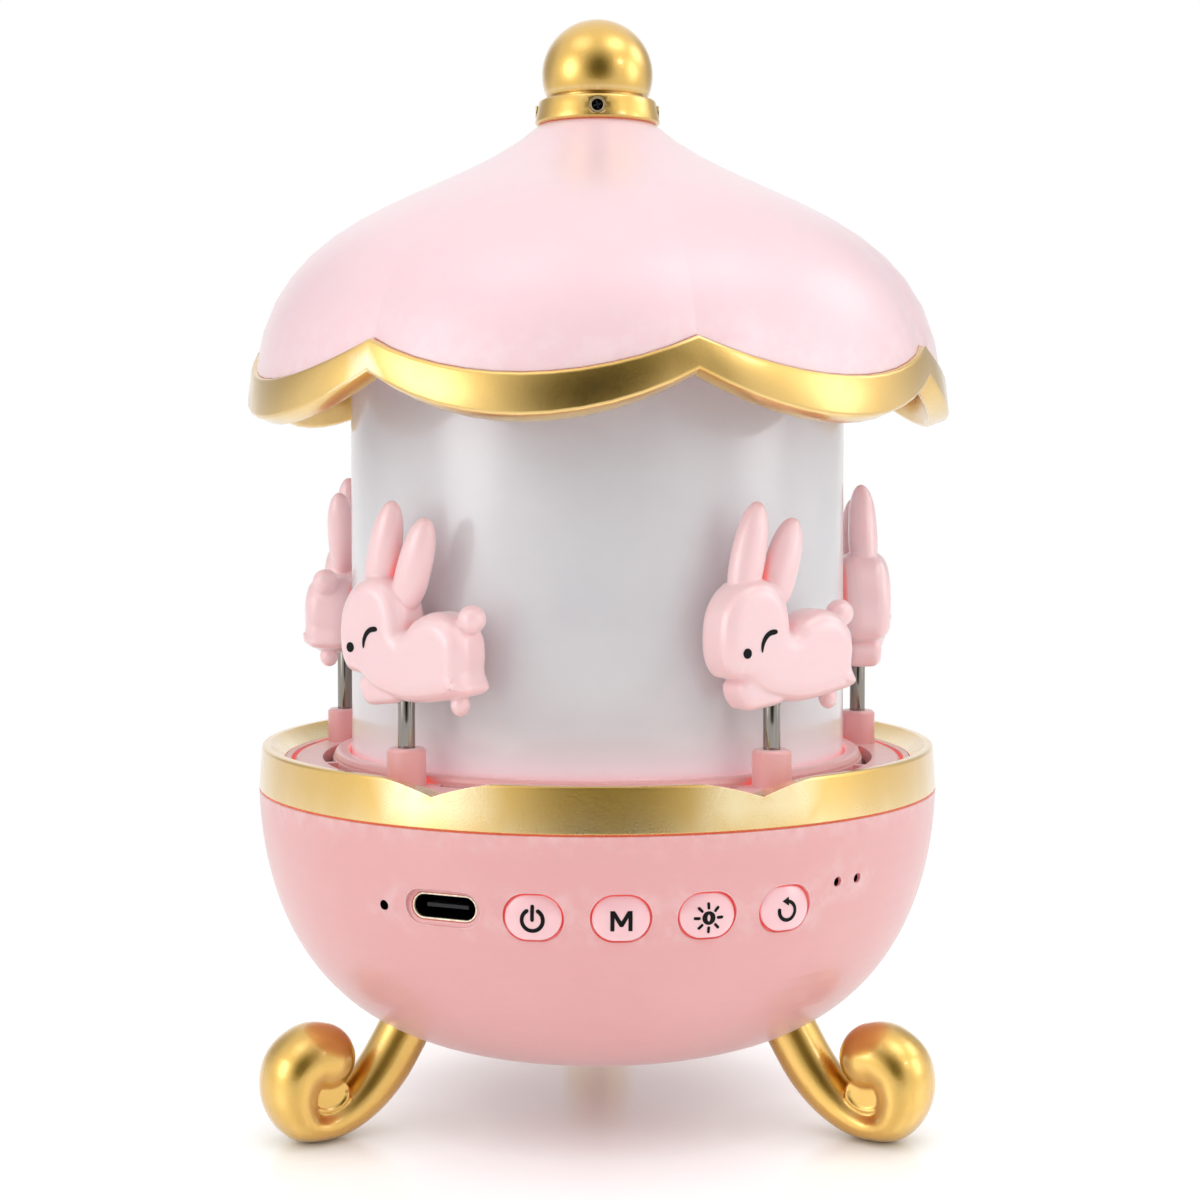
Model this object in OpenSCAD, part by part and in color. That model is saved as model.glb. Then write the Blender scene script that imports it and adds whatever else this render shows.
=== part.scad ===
// Carousel music box: a lamp with a petal dome over a turning ring of five rabbits.
// Millimetres. The origin is on the carousel's axis at floor level, +Z is up.
// Azimuths are measured from the front (-Y), positive towards +X.

/* [Heights] */
// Gap between the floor and the flat bottom of the bowl
floor_gap = 9.5; // [9:0.1:12]
// Height of the bowl from its flat bottom to the gold band
bowl_h = 34.7; // [33.5:0.1:40]
// Height of the gold band round the mouth of the bowl
rim_h = 6; // [5:0.1:7]
// How far the turntable lies below the top of the gold band
deck_drop = 2; // [1.2:0.1:3]
// Depth of the gear channel under the turntable's top face
channel_depth = 8.2; // [8:0.1:9]
// Length of the light tube
diffuser_h = 57.2; // [54:0.1:70]
// Height of the dome from the notches between its petals to its neck
canopy_h = 31.3; // [27:0.1:36]
// How far the middle of a petal hangs below the notches
petal_drop = 4.5; // [3:0.1:6]
// Height of the gold collar
collar_h = 3.4; // [3:0.1:5]

/* [Bowl] */
// Outer radius of the bowl at its mouth
bowl_r = 46.9; // [42:0.1:53]
// Radius of the flat bottom of the bowl
bowl_bottom_r = 16.5; // [15.5:0.1:18]
// Share of the bowl's height over which its side stays steep
bowl_fullness = 0.764; // [0.74:0.002:0.8]
// Share of the bowl's reach over which its bottom stays flat
bowl_flatness = 0.434; // [0.4:0.002:0.46]
// Wall thickness of the bowl
bowl_wall = 2; // [1.6:0.1:2.2]
// How far inside the bowl's mouth the deck screws' circle lies
deck_screw_inset = 10; // [9.9:0.1:10.3]
// Radius of a speaker hole in the bottom
grille_hole_r = 0.9; // [0.6:0.05:1.1]

/* [Gold band] */
// Width of the band's top lip
rim_lip = 1.45; // [1:0.05:1.6]
// How much the band narrows towards its top
rim_taper = 0.4; // [0:0.05:0.6]
// Depth of the notches in the band's top edge
rim_notch_depth = 1.9; // [0:0.1:2.4]
// Azimuth of the notches beside the front and the rear
rim_notch_azimuth = 25.7; // [20:0.1:32]
// Half of a notch's width
rim_notch_half_w = 9; // [6:0.1:11]

/* [Controls] */
// Height of the button row above the bowl's flat bottom
control_rise = 24.7; // [24:0.1:25.3]
// Width of a button cap
button_w = 7; // [6:0.1:7.6]
// Height of a button cap
button_h = 5.4; // [4.8:0.1:5.8]
// Gap round a button cap
button_gap = 0.3; // [0.2:0.02:0.4]
// Travel of a button
button_travel = 0.5; // [0.3:0.05:0.6]
// Azimuth of the first button
button_azimuth = -9.8; // [-11:0.1:-9.5]
// Azimuth from one button to the next
button_pitch = 13.4; // [12.6:0.1:13.6]
// Azimuth of the power socket
usb_azimuth = -24.6; // [-25.5:0.1:-24.2]
// Azimuth of the status light's hole
led_azimuth = -35.3; // [-36:0.1:-34]
// Azimuth of the first microphone hole
mic_azimuth = 40.5; // [39.5:0.1:41]
// Azimuth from one microphone hole to the other
mic_pitch = 4.6; // [4.4:0.1:5]
// Height of the microphone holes above the button row
mic_rise = 2.45; // [2:0.05:2.5]
// Radius of the microphone and status light holes
pin_hole_r = 0.65; // [0.5:0.05:0.8]

/* [Light tube] */
// Wall thickness of the light tube
diffuser_wall = 2; // [1.2:0.1:2.4]
// Number of lamps on the lamp board
lamp_count = 6; // [3:1:8]

/* [Carousel] */
// Number of rabbits
rabbit_count = 5; // [5:1:5]
// Azimuth of the first rabbit
rabbit_azimuth = 34; // [0:1:71]
// How far inside the bowl's mouth the rods' circle lies
rod_inset = 7.7; // [7.5:0.05:7.9]
// Distance from the light tube's face to the rods' circle
rod_standoff = 5; // [4.9:0.05:5.4]
// Radius of a rod
rod_r = 1.1; // [0.9:0.05:1.3]
// Height of a rod's boss above the turntable
boss_h = 4.7; // [3:0.1:7]
// Radius of a rod's boss
boss_r = 2.5; // [2.2:0.05:2.6]
// Height of a rabbit's belly above the turntable
belly_rise = 10.4; // [9:0.1:13]
// How much higher each rabbit sits on its own rod
rabbit_lift = [0, 0, 2.4, 1, 1.5]; // [0:0.1:3]
// How far each rabbit is turned on its rod
rabbit_twist = [0, 0, 12, 0, -12]; // [-12:0.5:12]
// Height of the raised hub ring of the turntable
hub_ring_h = 1.1; // [0.6:0.1:2]
// Width of the raised hub ring
hub_ring_w = 2.1; // [1.6:0.1:2.2]
// Width of the arc slots in the turntable
slot_w = 1.4; // [0.8:0.1:1.5]
// Width of the spoke between two slots
spoke_w = 1.2; // [0.8:0.1:2.5]

/* [Drive] */
// Teeth of the ring gear
ring_teeth = 78; // [78:1:78]
// Teeth of the pinion
pinion_teeth = 12; // [12:1:12]
// Azimuth of the motor
motor_azimuth = 120; // [117:1:123]
// Radius of the motor's can
motor_r = 10; // [9:0.1:10]
// Length of the motor's can
motor_h = 15; // [13:0.1:15.5]
// Radius of the motor's shaft
shaft_r = 1.5; // [1.2:0.05:1.6]

/* [Dome] */
// Number of petals
petal_count = 7; // [7:1:7]
// Azimuth of a notch between two petals
notch_azimuth = 14.9; // [0:0.1:51]
// Outer radius of the dome's edge at a notch
canopy_r = 46.5; // [46.3:0.1:50]
// How much further out the middle of a petal reaches
petal_bulge = 1; // [0.3:0.1:1.4]
// Radius of the dome's neck
neck_r = 8; // [7.6:0.1:8.6]
// Wall thickness of the dome
canopy_wall = 1.8; // [1.4:0.1:2]
// Height of the gold trim at a notch
trim_h = 4.1; // [3:0.1:5]
// How much taller the trim is at the middle of a petal
trim_swell = 1.1; // [0:0.1:1.6]
// How far the trim stands out from the dome
trim_proud = 0.7; // [0.4:0.1:1]
// How much the trim's face flares outward to its lower edge
trim_flare = 0.5; // [0:0.1:0.8]
// Thickness of the flat ceiling in the dome
ceiling_t = 2; // [1.6:0.1:3]

/* [Finial] */
// Radius of the gold ball
ball_r = 7.7; // [7.2:0.1:9]
// Radius of the ball's foot on the collar
ball_foot_r = 6.4; // [5.4:0.1:6.6]
// Outer radius of the collar at its bottom
collar_r = 8.7; // [8.4:0.1:9.5]
// How much the collar narrows to its top
collar_taper = 0.5; // [0:0.05:0.8]
// Radius of a set screw in the collar
set_screw_r = 1.1; // [0.8:0.05:1.2]

/* [Feet] */
// Azimuth between neighbouring feet
foot_pitch = 120; // [120:1:120]
// Azimuth of the right front foot
foot_azimuth = 60; // [60:1:60]
// How far inside the bowl's mouth a leg leaves the bowl
foot_root_inset = 18.2; // [17:0.1:19]
// How far inside the bowl's mouth a foot touches the floor
foot_floor_inset = 5.5; // [4:0.1:7]
// Radius of the leg's tube
leg_r = 3.5; // [3.2:0.05:3.8]
// Radius of the ball that ends the scroll
scroll_r = 6.3; // [5.8:0.1:6.8]

/* [Hidden] */

// Colours
pink = [0.97, 0.76, 0.78];
pale_pink = [0.99, 0.86, 0.88];
gold = [0.83, 0.66, 0.33];
milky = [0.93, 0.93, 0.95];
steel = [0.7, 0.7, 0.72];
black = [0.08, 0.08, 0.09];
board_green = [0.1, 0.35, 0.2];

// Clearances
free_gap = 0.3;        // between a moving piece and its neighbour
seat_gap = 0.05;       // between two fitted curved faces of fixed pieces
running_gap = 0.05;    // between a shaft and its bush
print_gap = 0.1;       // round a tenon, a spigot or a board's edge

// Levels
bowl_z = floor_gap;
rim_z = bowl_z + bowl_h;
rim_top_z = rim_z + rim_h;
deck_z = rim_top_z - deck_drop;
channel_z = deck_z - channel_depth;
deck_plate_t = 2;
deck_bottom_z = channel_z - deck_plate_t;
turn_plate_t = 1.8;
turn_bottom_z = deck_z - turn_plate_t;
drum_roof_z = deck_z - 1.2;
drum_roof_t = 1.6;
ceiling_z = drum_roof_z + diffuser_h;
notch_z = ceiling_z + 0.1;
neck_z = notch_z + canopy_h;
collar_top_z = neck_z + collar_h;
control_z = bowl_z + control_rise;

// Bowl
function bezier(p, t) =
  (1 - t) ^ 3 * p[0] + 3 * (1 - t) ^ 2 * t * p[1] + 3 * (1 - t) * t ^ 2 * p[2] + t ^ 3 * p[3];
function bezier_slope(p, t) =
  (1 - t) ^ 2 * (p[1] - p[0]) + 2 * (1 - t) * t * (p[2] - p[1]) + t ^ 2 * (p[3] - p[2]);
// Points of a curve set off to its right-hand side by d
function offset_curve(p, d, steps) = [for (i = [0:steps])
  let (t = i / steps, s = bezier_slope(p, t), n = [s.y, -s.x] / norm(s)) bezier(p, t) + d * n];
bowl_curve = [
  [bowl_bottom_r, bowl_z],
  [bowl_bottom_r + bowl_flatness * (bowl_r - bowl_bottom_r), bowl_z],
  [bowl_r - 0.9, rim_z - bowl_fullness * bowl_h],
  [bowl_r, rim_z]];
bowl_steps = 32;
bowl_outline = offset_curve(bowl_curve, 0, bowl_steps);
bowl_inline = offset_curve(bowl_curve, -bowl_wall, bowl_steps);
function bowl_radius(z) = lookup(z, [for (p = bowl_outline) [p.y, p.x]]);
function bowl_inner_radius(z) = lookup(z, [for (p = bowl_inline) [p.y, p.x]]);
deck_screw_circle_r = bowl_r - deck_screw_inset;
deck_screw_azimuths = [75, 180, -135, -75];
deck_screw_r = 1.2;
deck_screw_boss_r = 2.7;
deck_screw_length = 9;

// Deck and drum
rod_circle_r = bowl_r - rod_inset;
diffuser_r = rod_circle_r - rod_standoff;
deck_wall_in_r = rod_circle_r + 3.3;
deck_wall_t = 0.9;
deck_wall_r = deck_wall_in_r + deck_wall_t;
drum_wall = 3.2;
rail_w = 1.5;
battery_size = [1.11 * diffuser_r, 0.82 * diffuser_r, 6.6];
battery_place = [-4, -3];
battery_room = 1;
rim_in_r = deck_wall_r + print_gap;

// Turntable
turn_r = deck_wall_in_r - 0.4;
turn_bore_r = diffuser_r + free_gap;
hub_ring_r = turn_bore_r + hub_ring_w;
slot_in_r = hub_ring_r + 0.2;
slot_clear_angle = 6;
rod_z = turn_bottom_z + 0.6;
belly_z = deck_z + belly_rise;
tail_r = 1.8;
rod_top_z = belly_z + 7;

// Gears
ring_rim_w = 3.1;
ring_pitch_r = turn_r - ring_rim_w;
gear_module = 2 * ring_pitch_r / ring_teeth;
pressure_angle = 20;
addendum = 0.85 * gear_module;
dedendum = 1.15 * gear_module;
backlash = 0.12;
pinion_pitch_r = gear_module * pinion_teeth / 2;
pinion_axis_r = ring_pitch_r - pinion_pitch_r;
ring_bottom_z = channel_z + 1.5 + free_gap;
pinion_z = ring_bottom_z + 0.2;
pinion_top_z = drum_roof_z - drum_roof_t - free_gap;
pinion_room_r = pinion_pitch_r + addendum + 0.75;

// Motor
motor_offset = 6;
motor_centre_r = pinion_axis_r - motor_offset;
motor_ear_pitch = 12.6;
motor_ear_r = 2.6;
motor_ear_t = 1.2;
motor_screw_r = 1;
motor_bush_r = 3.2;

// Controls
cap_dome_r = 9;
cap_face_r = bowl_radius(control_z) + 0.45;
cap_flange_w = 0.7;
cap_flange_t = 0.8;
cap_flange_r = bowl_inner_radius(control_z - button_h / 2 - cap_flange_w) - free_gap;
plunger_length = 0.5;
switch_tip_r = cap_flange_r - cap_flange_t - plunger_length - button_travel - 0.05;
switch_size = [4.5, 3.6, 3.3];
board_top_z = control_z - switch_size.z / 2;
board_t = 1;
board_r = cap_flange_r - cap_flange_t - button_travel - free_gap;
board_w = 7.7;
board_in_r = board_r - board_w;
board_from = led_azimuth - 5;
board_to = mic_azimuth + mic_pitch + 4;
board_post_azimuths = [-31.5, 10.3, 47];
board_post_circle_r = board_in_r + 2.3;
board_post_r = 2;
board_screw_r = 0.8;
usb_w = 8.94;
usb_h = 3.26;
usb_depth = 7.3;
usb_wall = 0.3;
usb_rise = 0.4;
usb_pocket = 0.8;
usb_pocket_rim = 0.65;

// Dome
// A curve carried on past its end, to s times its reach
function extend(p, s) = [p[0], p[0] + s * (p[1] - p[0]),
  (1 - s) ^ 2 * p[0] + 2 * s * (1 - s) * p[1] + s ^ 2 * p[2], bezier(p, s)];
valley = [[neck_r, neck_z], [20.1, neck_z - 0.35 * canopy_h],
  [canopy_r - 4, neck_z - 0.369 * canopy_h], [canopy_r, notch_z]];
crest_r = canopy_r + petal_bulge;
long_valley = extend(valley, 1.08);
crest = [long_valley[0], long_valley[1], long_valley[2], [crest_r, notch_z - petal_drop]];
petal_steps = 12;
dome_columns = petal_count * petal_steps;
dome_rows = 13;
inner_rows = 6;
valley_inline = offset_curve(valley, canopy_wall, inner_rows);
neck_hole_r = neck_r - 2;
// 0 at a notch, 1 at the middle of a petal
function petal(column) = let (u = 2 * (column % petal_steps) / petal_steps - 1) 1 - u * u;
function column_azimuth(column) = notch_azimuth + 360 * column / dome_columns;
// A point at radius p.x and height p.y in the half plane at an azimuth
function at_azimuth(p, azimuth) = [p.x * sin(azimuth), -p.x * cos(azimuth), p.y];
// Joins rings of points, each ring a closed loop, into a closed tube or a closed torus
function ring_faces(rings, count, closed) = [for (i = [0:rings - (closed ? 1 : 2)], j = [0:count - 1])
  let (a = i * count + j, b = i * count + (j + 1) % count,
    c = ((i + 1) % rings) * count + (j + 1) % count, d = ((i + 1) % rings) * count + j)
  each [[a, c, b], [a, d, c]]];

// Finial
collar_top_r = collar_r - collar_taper;
ball_z = collar_top_z + sqrt(ball_r ^ 2 - ball_foot_r ^ 2) - 0.7;
stud_r = 2.5;
stud_length = 12;
collar_bore_r = stud_r + seat_gap;
spigot_r = neck_hole_r - print_gap;

// Feet
foot_root_r = bowl_r - foot_root_inset;
foot_floor_r = bowl_r - foot_floor_inset;
foot_azimuths = [-foot_azimuth, foot_azimuth, foot_azimuth + foot_pitch];
foot_names = ["foot_left", "foot_right", "foot_rear"];
foot_tilt = 29.5;
foot_root_z = lookup(foot_root_r, [for (p = bowl_outline) [p.x, p.y]]);
foot_axis = [sin(foot_tilt), -cos(foot_tilt)];
foot_flat = 0.15;
tenon_r = 3;
tenon_length = 5;
socket_r = 5.5;
socket_length = 8;
foot_screw_r = 1.4;
foot_screw_length = 9;
scroll_at = [foot_floor_r + 2.6, 9.3 - foot_flat];
eye_at = [foot_floor_r + 1.5, 5.4];
eye_r = 1.4;
eye_web_t = 3;
leg_sides = 16;
leg_reach = 5;
leg_run = 6;
leg_start = [foot_root_r, foot_root_z] + 0.35 * foot_axis;
leg_drop = [leg_start, leg_start + leg_reach * foot_axis, [foot_floor_r - leg_run, leg_r - foot_flat],
  [foot_floor_r, leg_r - foot_flat]];
leg_curl = [[foot_floor_r, leg_r - foot_flat], [foot_floor_r + 2.2, leg_r - foot_flat],
  scroll_at + [1, -3], scroll_at];

// Puts its children at a radius and azimuth, with local -Y pointing away from the axis
module around(azimuth, r = 0) {
  rotate([0, 0, azimuth]) translate([0, -r, 0]) children();
}

// A solid of revolution between the bowl's outline moved by `d` and the axis, with a flat top
module bowl_body(d, top) {
  outline = offset_curve(bowl_curve, d, bowl_steps);
  base_z = outline[0].y;
  rotate_extrude($fn = 128)
    polygon(concat([[0, base_z]], outline, [[outline[bowl_steps].x, top], [0, top]]));
}

module stadium(w, h) {
  translate([-(w - h) / 2, 0]) circle(d = h, $fn = 48);
  translate([(w - h) / 2, 0]) circle(d = h, $fn = 48);
  square([w - h, h], center = true);
}

// A stadium prism that runs outward from one radius to another, in the frame that around() gives
module stadium_prism(w, h, from_r, to_r) {
  translate([0, -from_r, 0]) rotate([90, 0, 0]) linear_extrude(to_r - from_r) stadium(w, h);
}

// A round rod that runs outward from one radius to another, in the frame that around() gives
module radial_rod(r, from_r, to_r) {
  translate([0, -from_r, 0]) rotate([90, 0, 0]) cylinder(r = r, h = to_r - from_r, $fn = 32);
}

// The frame of a leg's root: local +Z runs along the leg's axis, into the bowl
module at_foot_root(azimuth) {
  around(azimuth, foot_root_r) translate([0, 0, foot_root_z]) rotate([-foot_tilt, 0, 0]) children();
}

module screw(r, length, head_r, head_h, drive_r) {
  difference() {
    union() {
      cylinder(r = r, h = length, $fn = 24);
      translate([0, 0, length]) cylinder(r = head_r, h = head_h, $fn = 32);
    }
    translate([0, 0, length + head_h / 2]) {
      cross_recess(drive_r, head_h);
    }
  }
}

module cross_recess(r, h) {
  arm = 0.35 * r;
  translate([-r, -arm / 2, 0]) cube([2 * r, arm, h]);
  translate([-arm / 2, -r, 0]) cube([arm, 2 * r, h]);
}

// ---------------------------------------------------------------- head

module finial_ball() {
  color(gold) {
    difference() {
      translate([0, 0, ball_z]) sphere(r = ball_r, $fn = 96);
      translate([0, 0, collar_top_z - ball_r]) cylinder(r = ball_r, h = ball_r + 0.5, $fn = 64);
    }
    translate([0, 0, collar_top_z]) cylinder(r = ball_foot_r, h = 1, $fn = 64);
    translate([0, 0, collar_top_z - stud_length]) cylinder(r = stud_r, h = stud_length + 0.5, $fn = 32);
  }
}

module finial_collar() {
  edge = 0.4;
  color(gold) difference() {
    rotate_extrude($fn = 96) polygon([
      [0, neck_z - 3], [spigot_r, neck_z - 3], [spigot_r, neck_z],
      [collar_r - edge, neck_z], [collar_r - 0.3 * edge, neck_z + 0.3 * edge], [collar_r, neck_z + edge],
      [collar_top_r, collar_top_z - edge], [collar_top_r - 0.3 * edge, collar_top_z - 0.3 * edge],
      [collar_top_r - edge, collar_top_z], [0, collar_top_z]]);
    translate([0, 0, neck_z - 4]) cylinder(r = collar_bore_r, h = collar_h + 5, $fn = 32);
    for (quarter = [0:3])
      around(90 * quarter) translate([0, 0, neck_z + collar_h / 2])
        radial_rod(set_screw_r + seat_gap, collar_bore_r - 1, collar_r + 1);
  }
}

module collar_screws() {
  face_r = collar_r - collar_taper / 2 - 0.15;
  color(steel) for (quarter = [0:3])
    around(90 * quarter) translate([0, 0, neck_z + collar_h / 2]) difference() {
      radial_rod(set_screw_r, collar_bore_r, face_r);
      translate([0, -face_r + 0.6, 0]) rotate([90, 0, 0]) cross_recess(0.7 * set_screw_r, 1);
    }
}

// Outline of the dome's wall in one half plane, from the neck out along its top and back below
function dome_section(mix) =
  let (curve = [for (i = [0:3]) (1 - mix) * valley[i] + mix * crest[i]],
    top = offset_curve(curve, 0, dome_rows),
    below = offset_curve(curve, canopy_wall, inner_rows),
    last = len(below) - 1)
  concat([[neck_hole_r, neck_z]], top, [[top[dome_rows].x - canopy_wall, top[dome_rows].y]],
    [for (i = [last - 1:-1:1]) below[i]], [[neck_hole_r, neck_z - 1.4 * canopy_wall]]);

module canopy_shell() {
  sections = [for (c = [0:dome_columns - 1])
    [for (p = dome_section(petal(c))) at_azimuth(p, column_azimuth(c))]];
  color(pale_pink) polyhedron(points = [for (s = sections) each s],
    faces = ring_faces(dome_columns, len(sections[0]), true));
}

// Outline of the trim in one half plane, hung below the dome's edge
function trim_section(mix) =
  let (r = canopy_r + mix * petal_bulge, top = notch_z - mix * petal_drop - seat_gap,
    bottom = top - trim_h - mix * trim_swell, foot_r = r + trim_proud + trim_flare)
  [[r - canopy_wall - 0.2, top], [r + trim_proud - 0.3, top], [r + trim_proud, top - 0.3],
    [foot_r, bottom + 0.3], [foot_r - 0.3, bottom], [foot_r - 2.4, bottom - 0.8],
    [foot_r - 2.9, bottom - 0.4]];

module canopy_trim() {
  sections = [for (c = [0:dome_columns - 1])
    [for (p = trim_section(petal(c))) at_azimuth(p, column_azimuth(c))]];
  color(gold) polyhedron(points = [for (s = sections) each s],
    faces = ring_faces(dome_columns, len(sections[0]), true));
}

module canopy_plate() {
  plate_r = lookup(ceiling_z + ceiling_t, [for (p = valley_inline) [p.y, p.x]]) - free_gap;
  spigot_out_r = diffuser_r - diffuser_wall - print_gap;
  post_bore_r = stud_r + 0.1;
  post_top_z = neck_z - 3 - print_gap;
  color(pale_pink) {
    difference() {
      union() {
        translate([0, 0, ceiling_z]) cylinder(r = plate_r, h = ceiling_t, $fn = 128);
        translate([0, 0, ceiling_z - 2.5]) cylinder(r = spigot_out_r, h = 3, $fn = 96);
        translate([0, 0, ceiling_z]) cylinder(r = neck_hole_r - 0.6, h = post_top_z - ceiling_z, $fn = 48);
        for (rib = [0:5])
          rotate([0, 0, 60 * rib]) translate([3.5, -0.7, ceiling_z + 0.5]) cube([diffuser_r - 4, 1.4, 6]);
      }
      translate([0, 0, ceiling_z - 3]) cylinder(r = spigot_out_r - 1.6, h = 3, $fn = 96);
      translate([0, 0, ceiling_z + ceiling_t]) cylinder(r = post_bore_r, h = canopy_h, $fn = 32);
    }
  }
}

// ---------------------------------------------------------------- light

module diffuser() {
  color(milky) translate([0, 0, drum_roof_z]) difference() {
    cylinder(r = diffuser_r, h = diffuser_h, $fn = 128);
    translate([0, 0, -1]) cylinder(r = diffuser_r - diffuser_wall, h = diffuser_h + 2, $fn = 128);
  }
}

lamp_circle_r = 0.53 * diffuser_r;
lamp_size = [5, 5, 1.6];
module led_board() {
  board_edge_r = diffuser_r - diffuser_wall - 0.4;
  color("white") translate([0, 0, drum_roof_z]) difference() {
    cylinder(r = board_edge_r, h = board_t, $fn = 96);
    translate([0, 0, -1]) cylinder(r = 2, h = 3, $fn = 32);
  }
}

module leds() {
  color("lightyellow") for (i = [0:lamp_count - 1])
    around(360 * i / lamp_count, lamp_circle_r) translate([0, 0, drum_roof_z + board_t + lamp_size.z / 2])
      cube(lamp_size, center = true);
}

// ---------------------------------------------------------------- carousel

module carousel_ring() {
  edge = 0.35;
  color(pink) difference() {
    union() {
      rotate_extrude($fn = 128) polygon([
        [turn_bore_r, turn_bottom_z], [turn_r, turn_bottom_z], [turn_r, deck_z - edge],
        [turn_r - edge, deck_z], [hub_ring_r, deck_z],
        [hub_ring_r, deck_z + hub_ring_h - 2 * edge], [hub_ring_r - 0.6 * edge, deck_z + hub_ring_h - 0.6 * edge],
        [hub_ring_r - 2 * edge, deck_z + hub_ring_h], [turn_bore_r + edge, deck_z + hub_ring_h],
        [turn_bore_r, deck_z + hub_ring_h - edge]]);
      for (i = [0:rabbit_count - 1])
        around(rabbit_place(i), rod_circle_r) translate([0, 0, turn_bottom_z + 0.4]) rotate_extrude($fn = 48)
          polygon([[0, 0], [boss_r, 0], [boss_r, deck_z + boss_h - turn_bottom_z - 0.4 - edge],
            [boss_r - edge, deck_z + boss_h - turn_bottom_z - 0.4],
            [0, deck_z + boss_h - turn_bottom_z - 0.4]]);
    }
    for (i = [0:rabbit_count - 1]) {
      around(rabbit_place(i), rod_circle_r) translate([0, 0, rod_z])
        cylinder(r = rod_r + seat_gap, h = boss_h + turn_plate_t + 1, $fn = 32);
      half = 180 / rabbit_count;
      spoke = asin(spoke_w / 2 / slot_in_r);
      slot(rabbit_place(i) + slot_clear_angle, rabbit_place(i) + half - spoke);
      slot(rabbit_place(i) + half + spoke, rabbit_place(i) + 2 * half - slot_clear_angle);
    }
  }
}

function rabbit_place(i) = rabbit_azimuth - 360 * i / rabbit_count;
function rod_length(i) = rod_top_z + rabbit_lift[i] - rod_z;

// An arc slot through the turntable between two azimuths
module slot(from, to) {
  translate([0, 0, turn_bottom_z - 1]) rotate([0, 0, from - 90])
    rotate_extrude(angle = to - from, $fn = 128)
      translate([slot_in_r, 0]) square([slot_w, turn_plate_t + 2]);
}

// Involute of a circle: the roll angle in degrees at pressure angle a
function involute(a) = tan(a) * 180 / PI - a;
// Half the angle that a tooth covers at radius r, for pitch radius p and a tooth count
function half_tooth(r, p, teeth, slack) =
  let (base = p * cos(pressure_angle), a = r > base ? acos(base / r) : 0)
  90 / teeth + involute(pressure_angle) - involute(a) - slack / 2 / p * 180 / PI;
// Outline of a gear whose tooth 0 points along +X
function gear_outline(p, teeth, root_r, tip_r, slack) =
  let (base = p * cos(pressure_angle), low = max(root_r, base + 0.01), steps = 4,
    flank = [for (i = [0:steps]) low + (tip_r - low) * i / steps])
  [for (k = [0:teeth - 1]) let (c = 360 * k / teeth)
    each concat(
      [let (h = half_tooth(low, p, teeth, slack)) root_r * [cos(c - h), sin(c - h)]],
      [for (r = flank) let (h = half_tooth(r, p, teeth, slack)) r * [cos(c - h), sin(c - h)]],
      [for (i = [steps:-1:0]) let (r = flank[i], h = half_tooth(r, p, teeth, slack))
        r * [cos(c + h), sin(c + h)]],
      [let (h = half_tooth(low, p, teeth, slack)) root_r * [cos(c + h), sin(c + h)]])];

module ring_gear() {
  color(milky) translate([0, 0, ring_bottom_z]) difference() {
    cylinder(r = turn_r - 0.1, h = turn_bottom_z - ring_bottom_z, $fn = 128);
    translate([0, 0, -1]) rotate([0, 0, motor_azimuth - 90])
      linear_extrude(turn_bottom_z - ring_bottom_z + 2)
        polygon(gear_outline(ring_pitch_r, ring_teeth, ring_pitch_r - addendum,
          ring_pitch_r + dedendum, -backlash));
  }
}

module rod(i) {
  color(steel) around(rabbit_place(i), rod_circle_r) translate([0, 0, rod_z])
    cylinder(r = rod_r, h = rod_length(i), $fn = 32);
}

// A disc with rounded edges that stands in the X-Z plane
module pebble(x, z, r, t, edge) {
  translate([x, 0, z]) rotate([90, 0, 0]) rotate_extrude($fn = 32) polygon([
    [0, -t / 2], [r - edge, -t / 2], [r - 0.3 * edge, -t / 2 + 0.3 * edge], [r, -t / 2 + edge],
    [r, t / 2 - edge], [r - 0.3 * edge, t / 2 - 0.3 * edge], [r - edge, t / 2], [0, t / 2]]);
}

// An ear: a spindle from its root to its tip, round in section
module ear(root, tip, r) {
  reach = norm(tip - root);
  lean = atan2(tip.x - root.x, tip.y - root.y);
  translate([root.x, 0, root.y]) rotate([0, lean, 0]) rotate_extrude($fn = 32)
    polygon(concat([[0, 0]], [for (i = [0:8]) let (a = i * 11.25)
      [r * (1 - (1 - cos(a)) ^ 1.6 * 1) , reach * sin(a)]]));
}

// One rabbit, with the rod's axis through its own origin and its nose towards -X
module rabbit(i) {
  body_t = 6.8;
  soft = 1.8;
  color(pink) around(rabbit_place(i), rod_circle_r) translate([0, 0, belly_z + rabbit_lift[i]])
    rotate([0, 0, rabbit_twist[i]]) difference() {
    union() {
      hull() {
        pebble(-3.9, 10.4, 5.6, body_t, soft);
        pebble(-4.6, 8.3, 5, body_t, soft);
      }
      hull() {
        pebble(6.5, 6.7, 5, body_t, soft);
        pebble(7.2, 4.6, 4.3, body_t, soft);
        pebble(-2.2, 3.9, 3.5, body_t, soft);
      }
      hull() {
        pebble(-4.4, 1.4, 1.9, 5, 1.2);
        pebble(0.5, 1.7, 1.5, 4.4, 1);
      }
      pebble(10.7, 2.8, 1.5, 5, 1);
      ear([-5, 13.8], [-2, 25.3], 2.2);
      ear([0.2, 12.8], [3.4, 23.3], 2.2);
      translate([11, 0, 11]) sphere(r = tail_r, $fn = 32);
      translate([9.1, 0, 0.4]) sphere(r = 1.4, $fn = 24);
    }
    translate([0, 0, -2]) cylinder(r = rod_r + seat_gap, h = rod_top_z - belly_z + 2.1, $fn = 32);
  }
}

// ---------------------------------------------------------------- base

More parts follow.
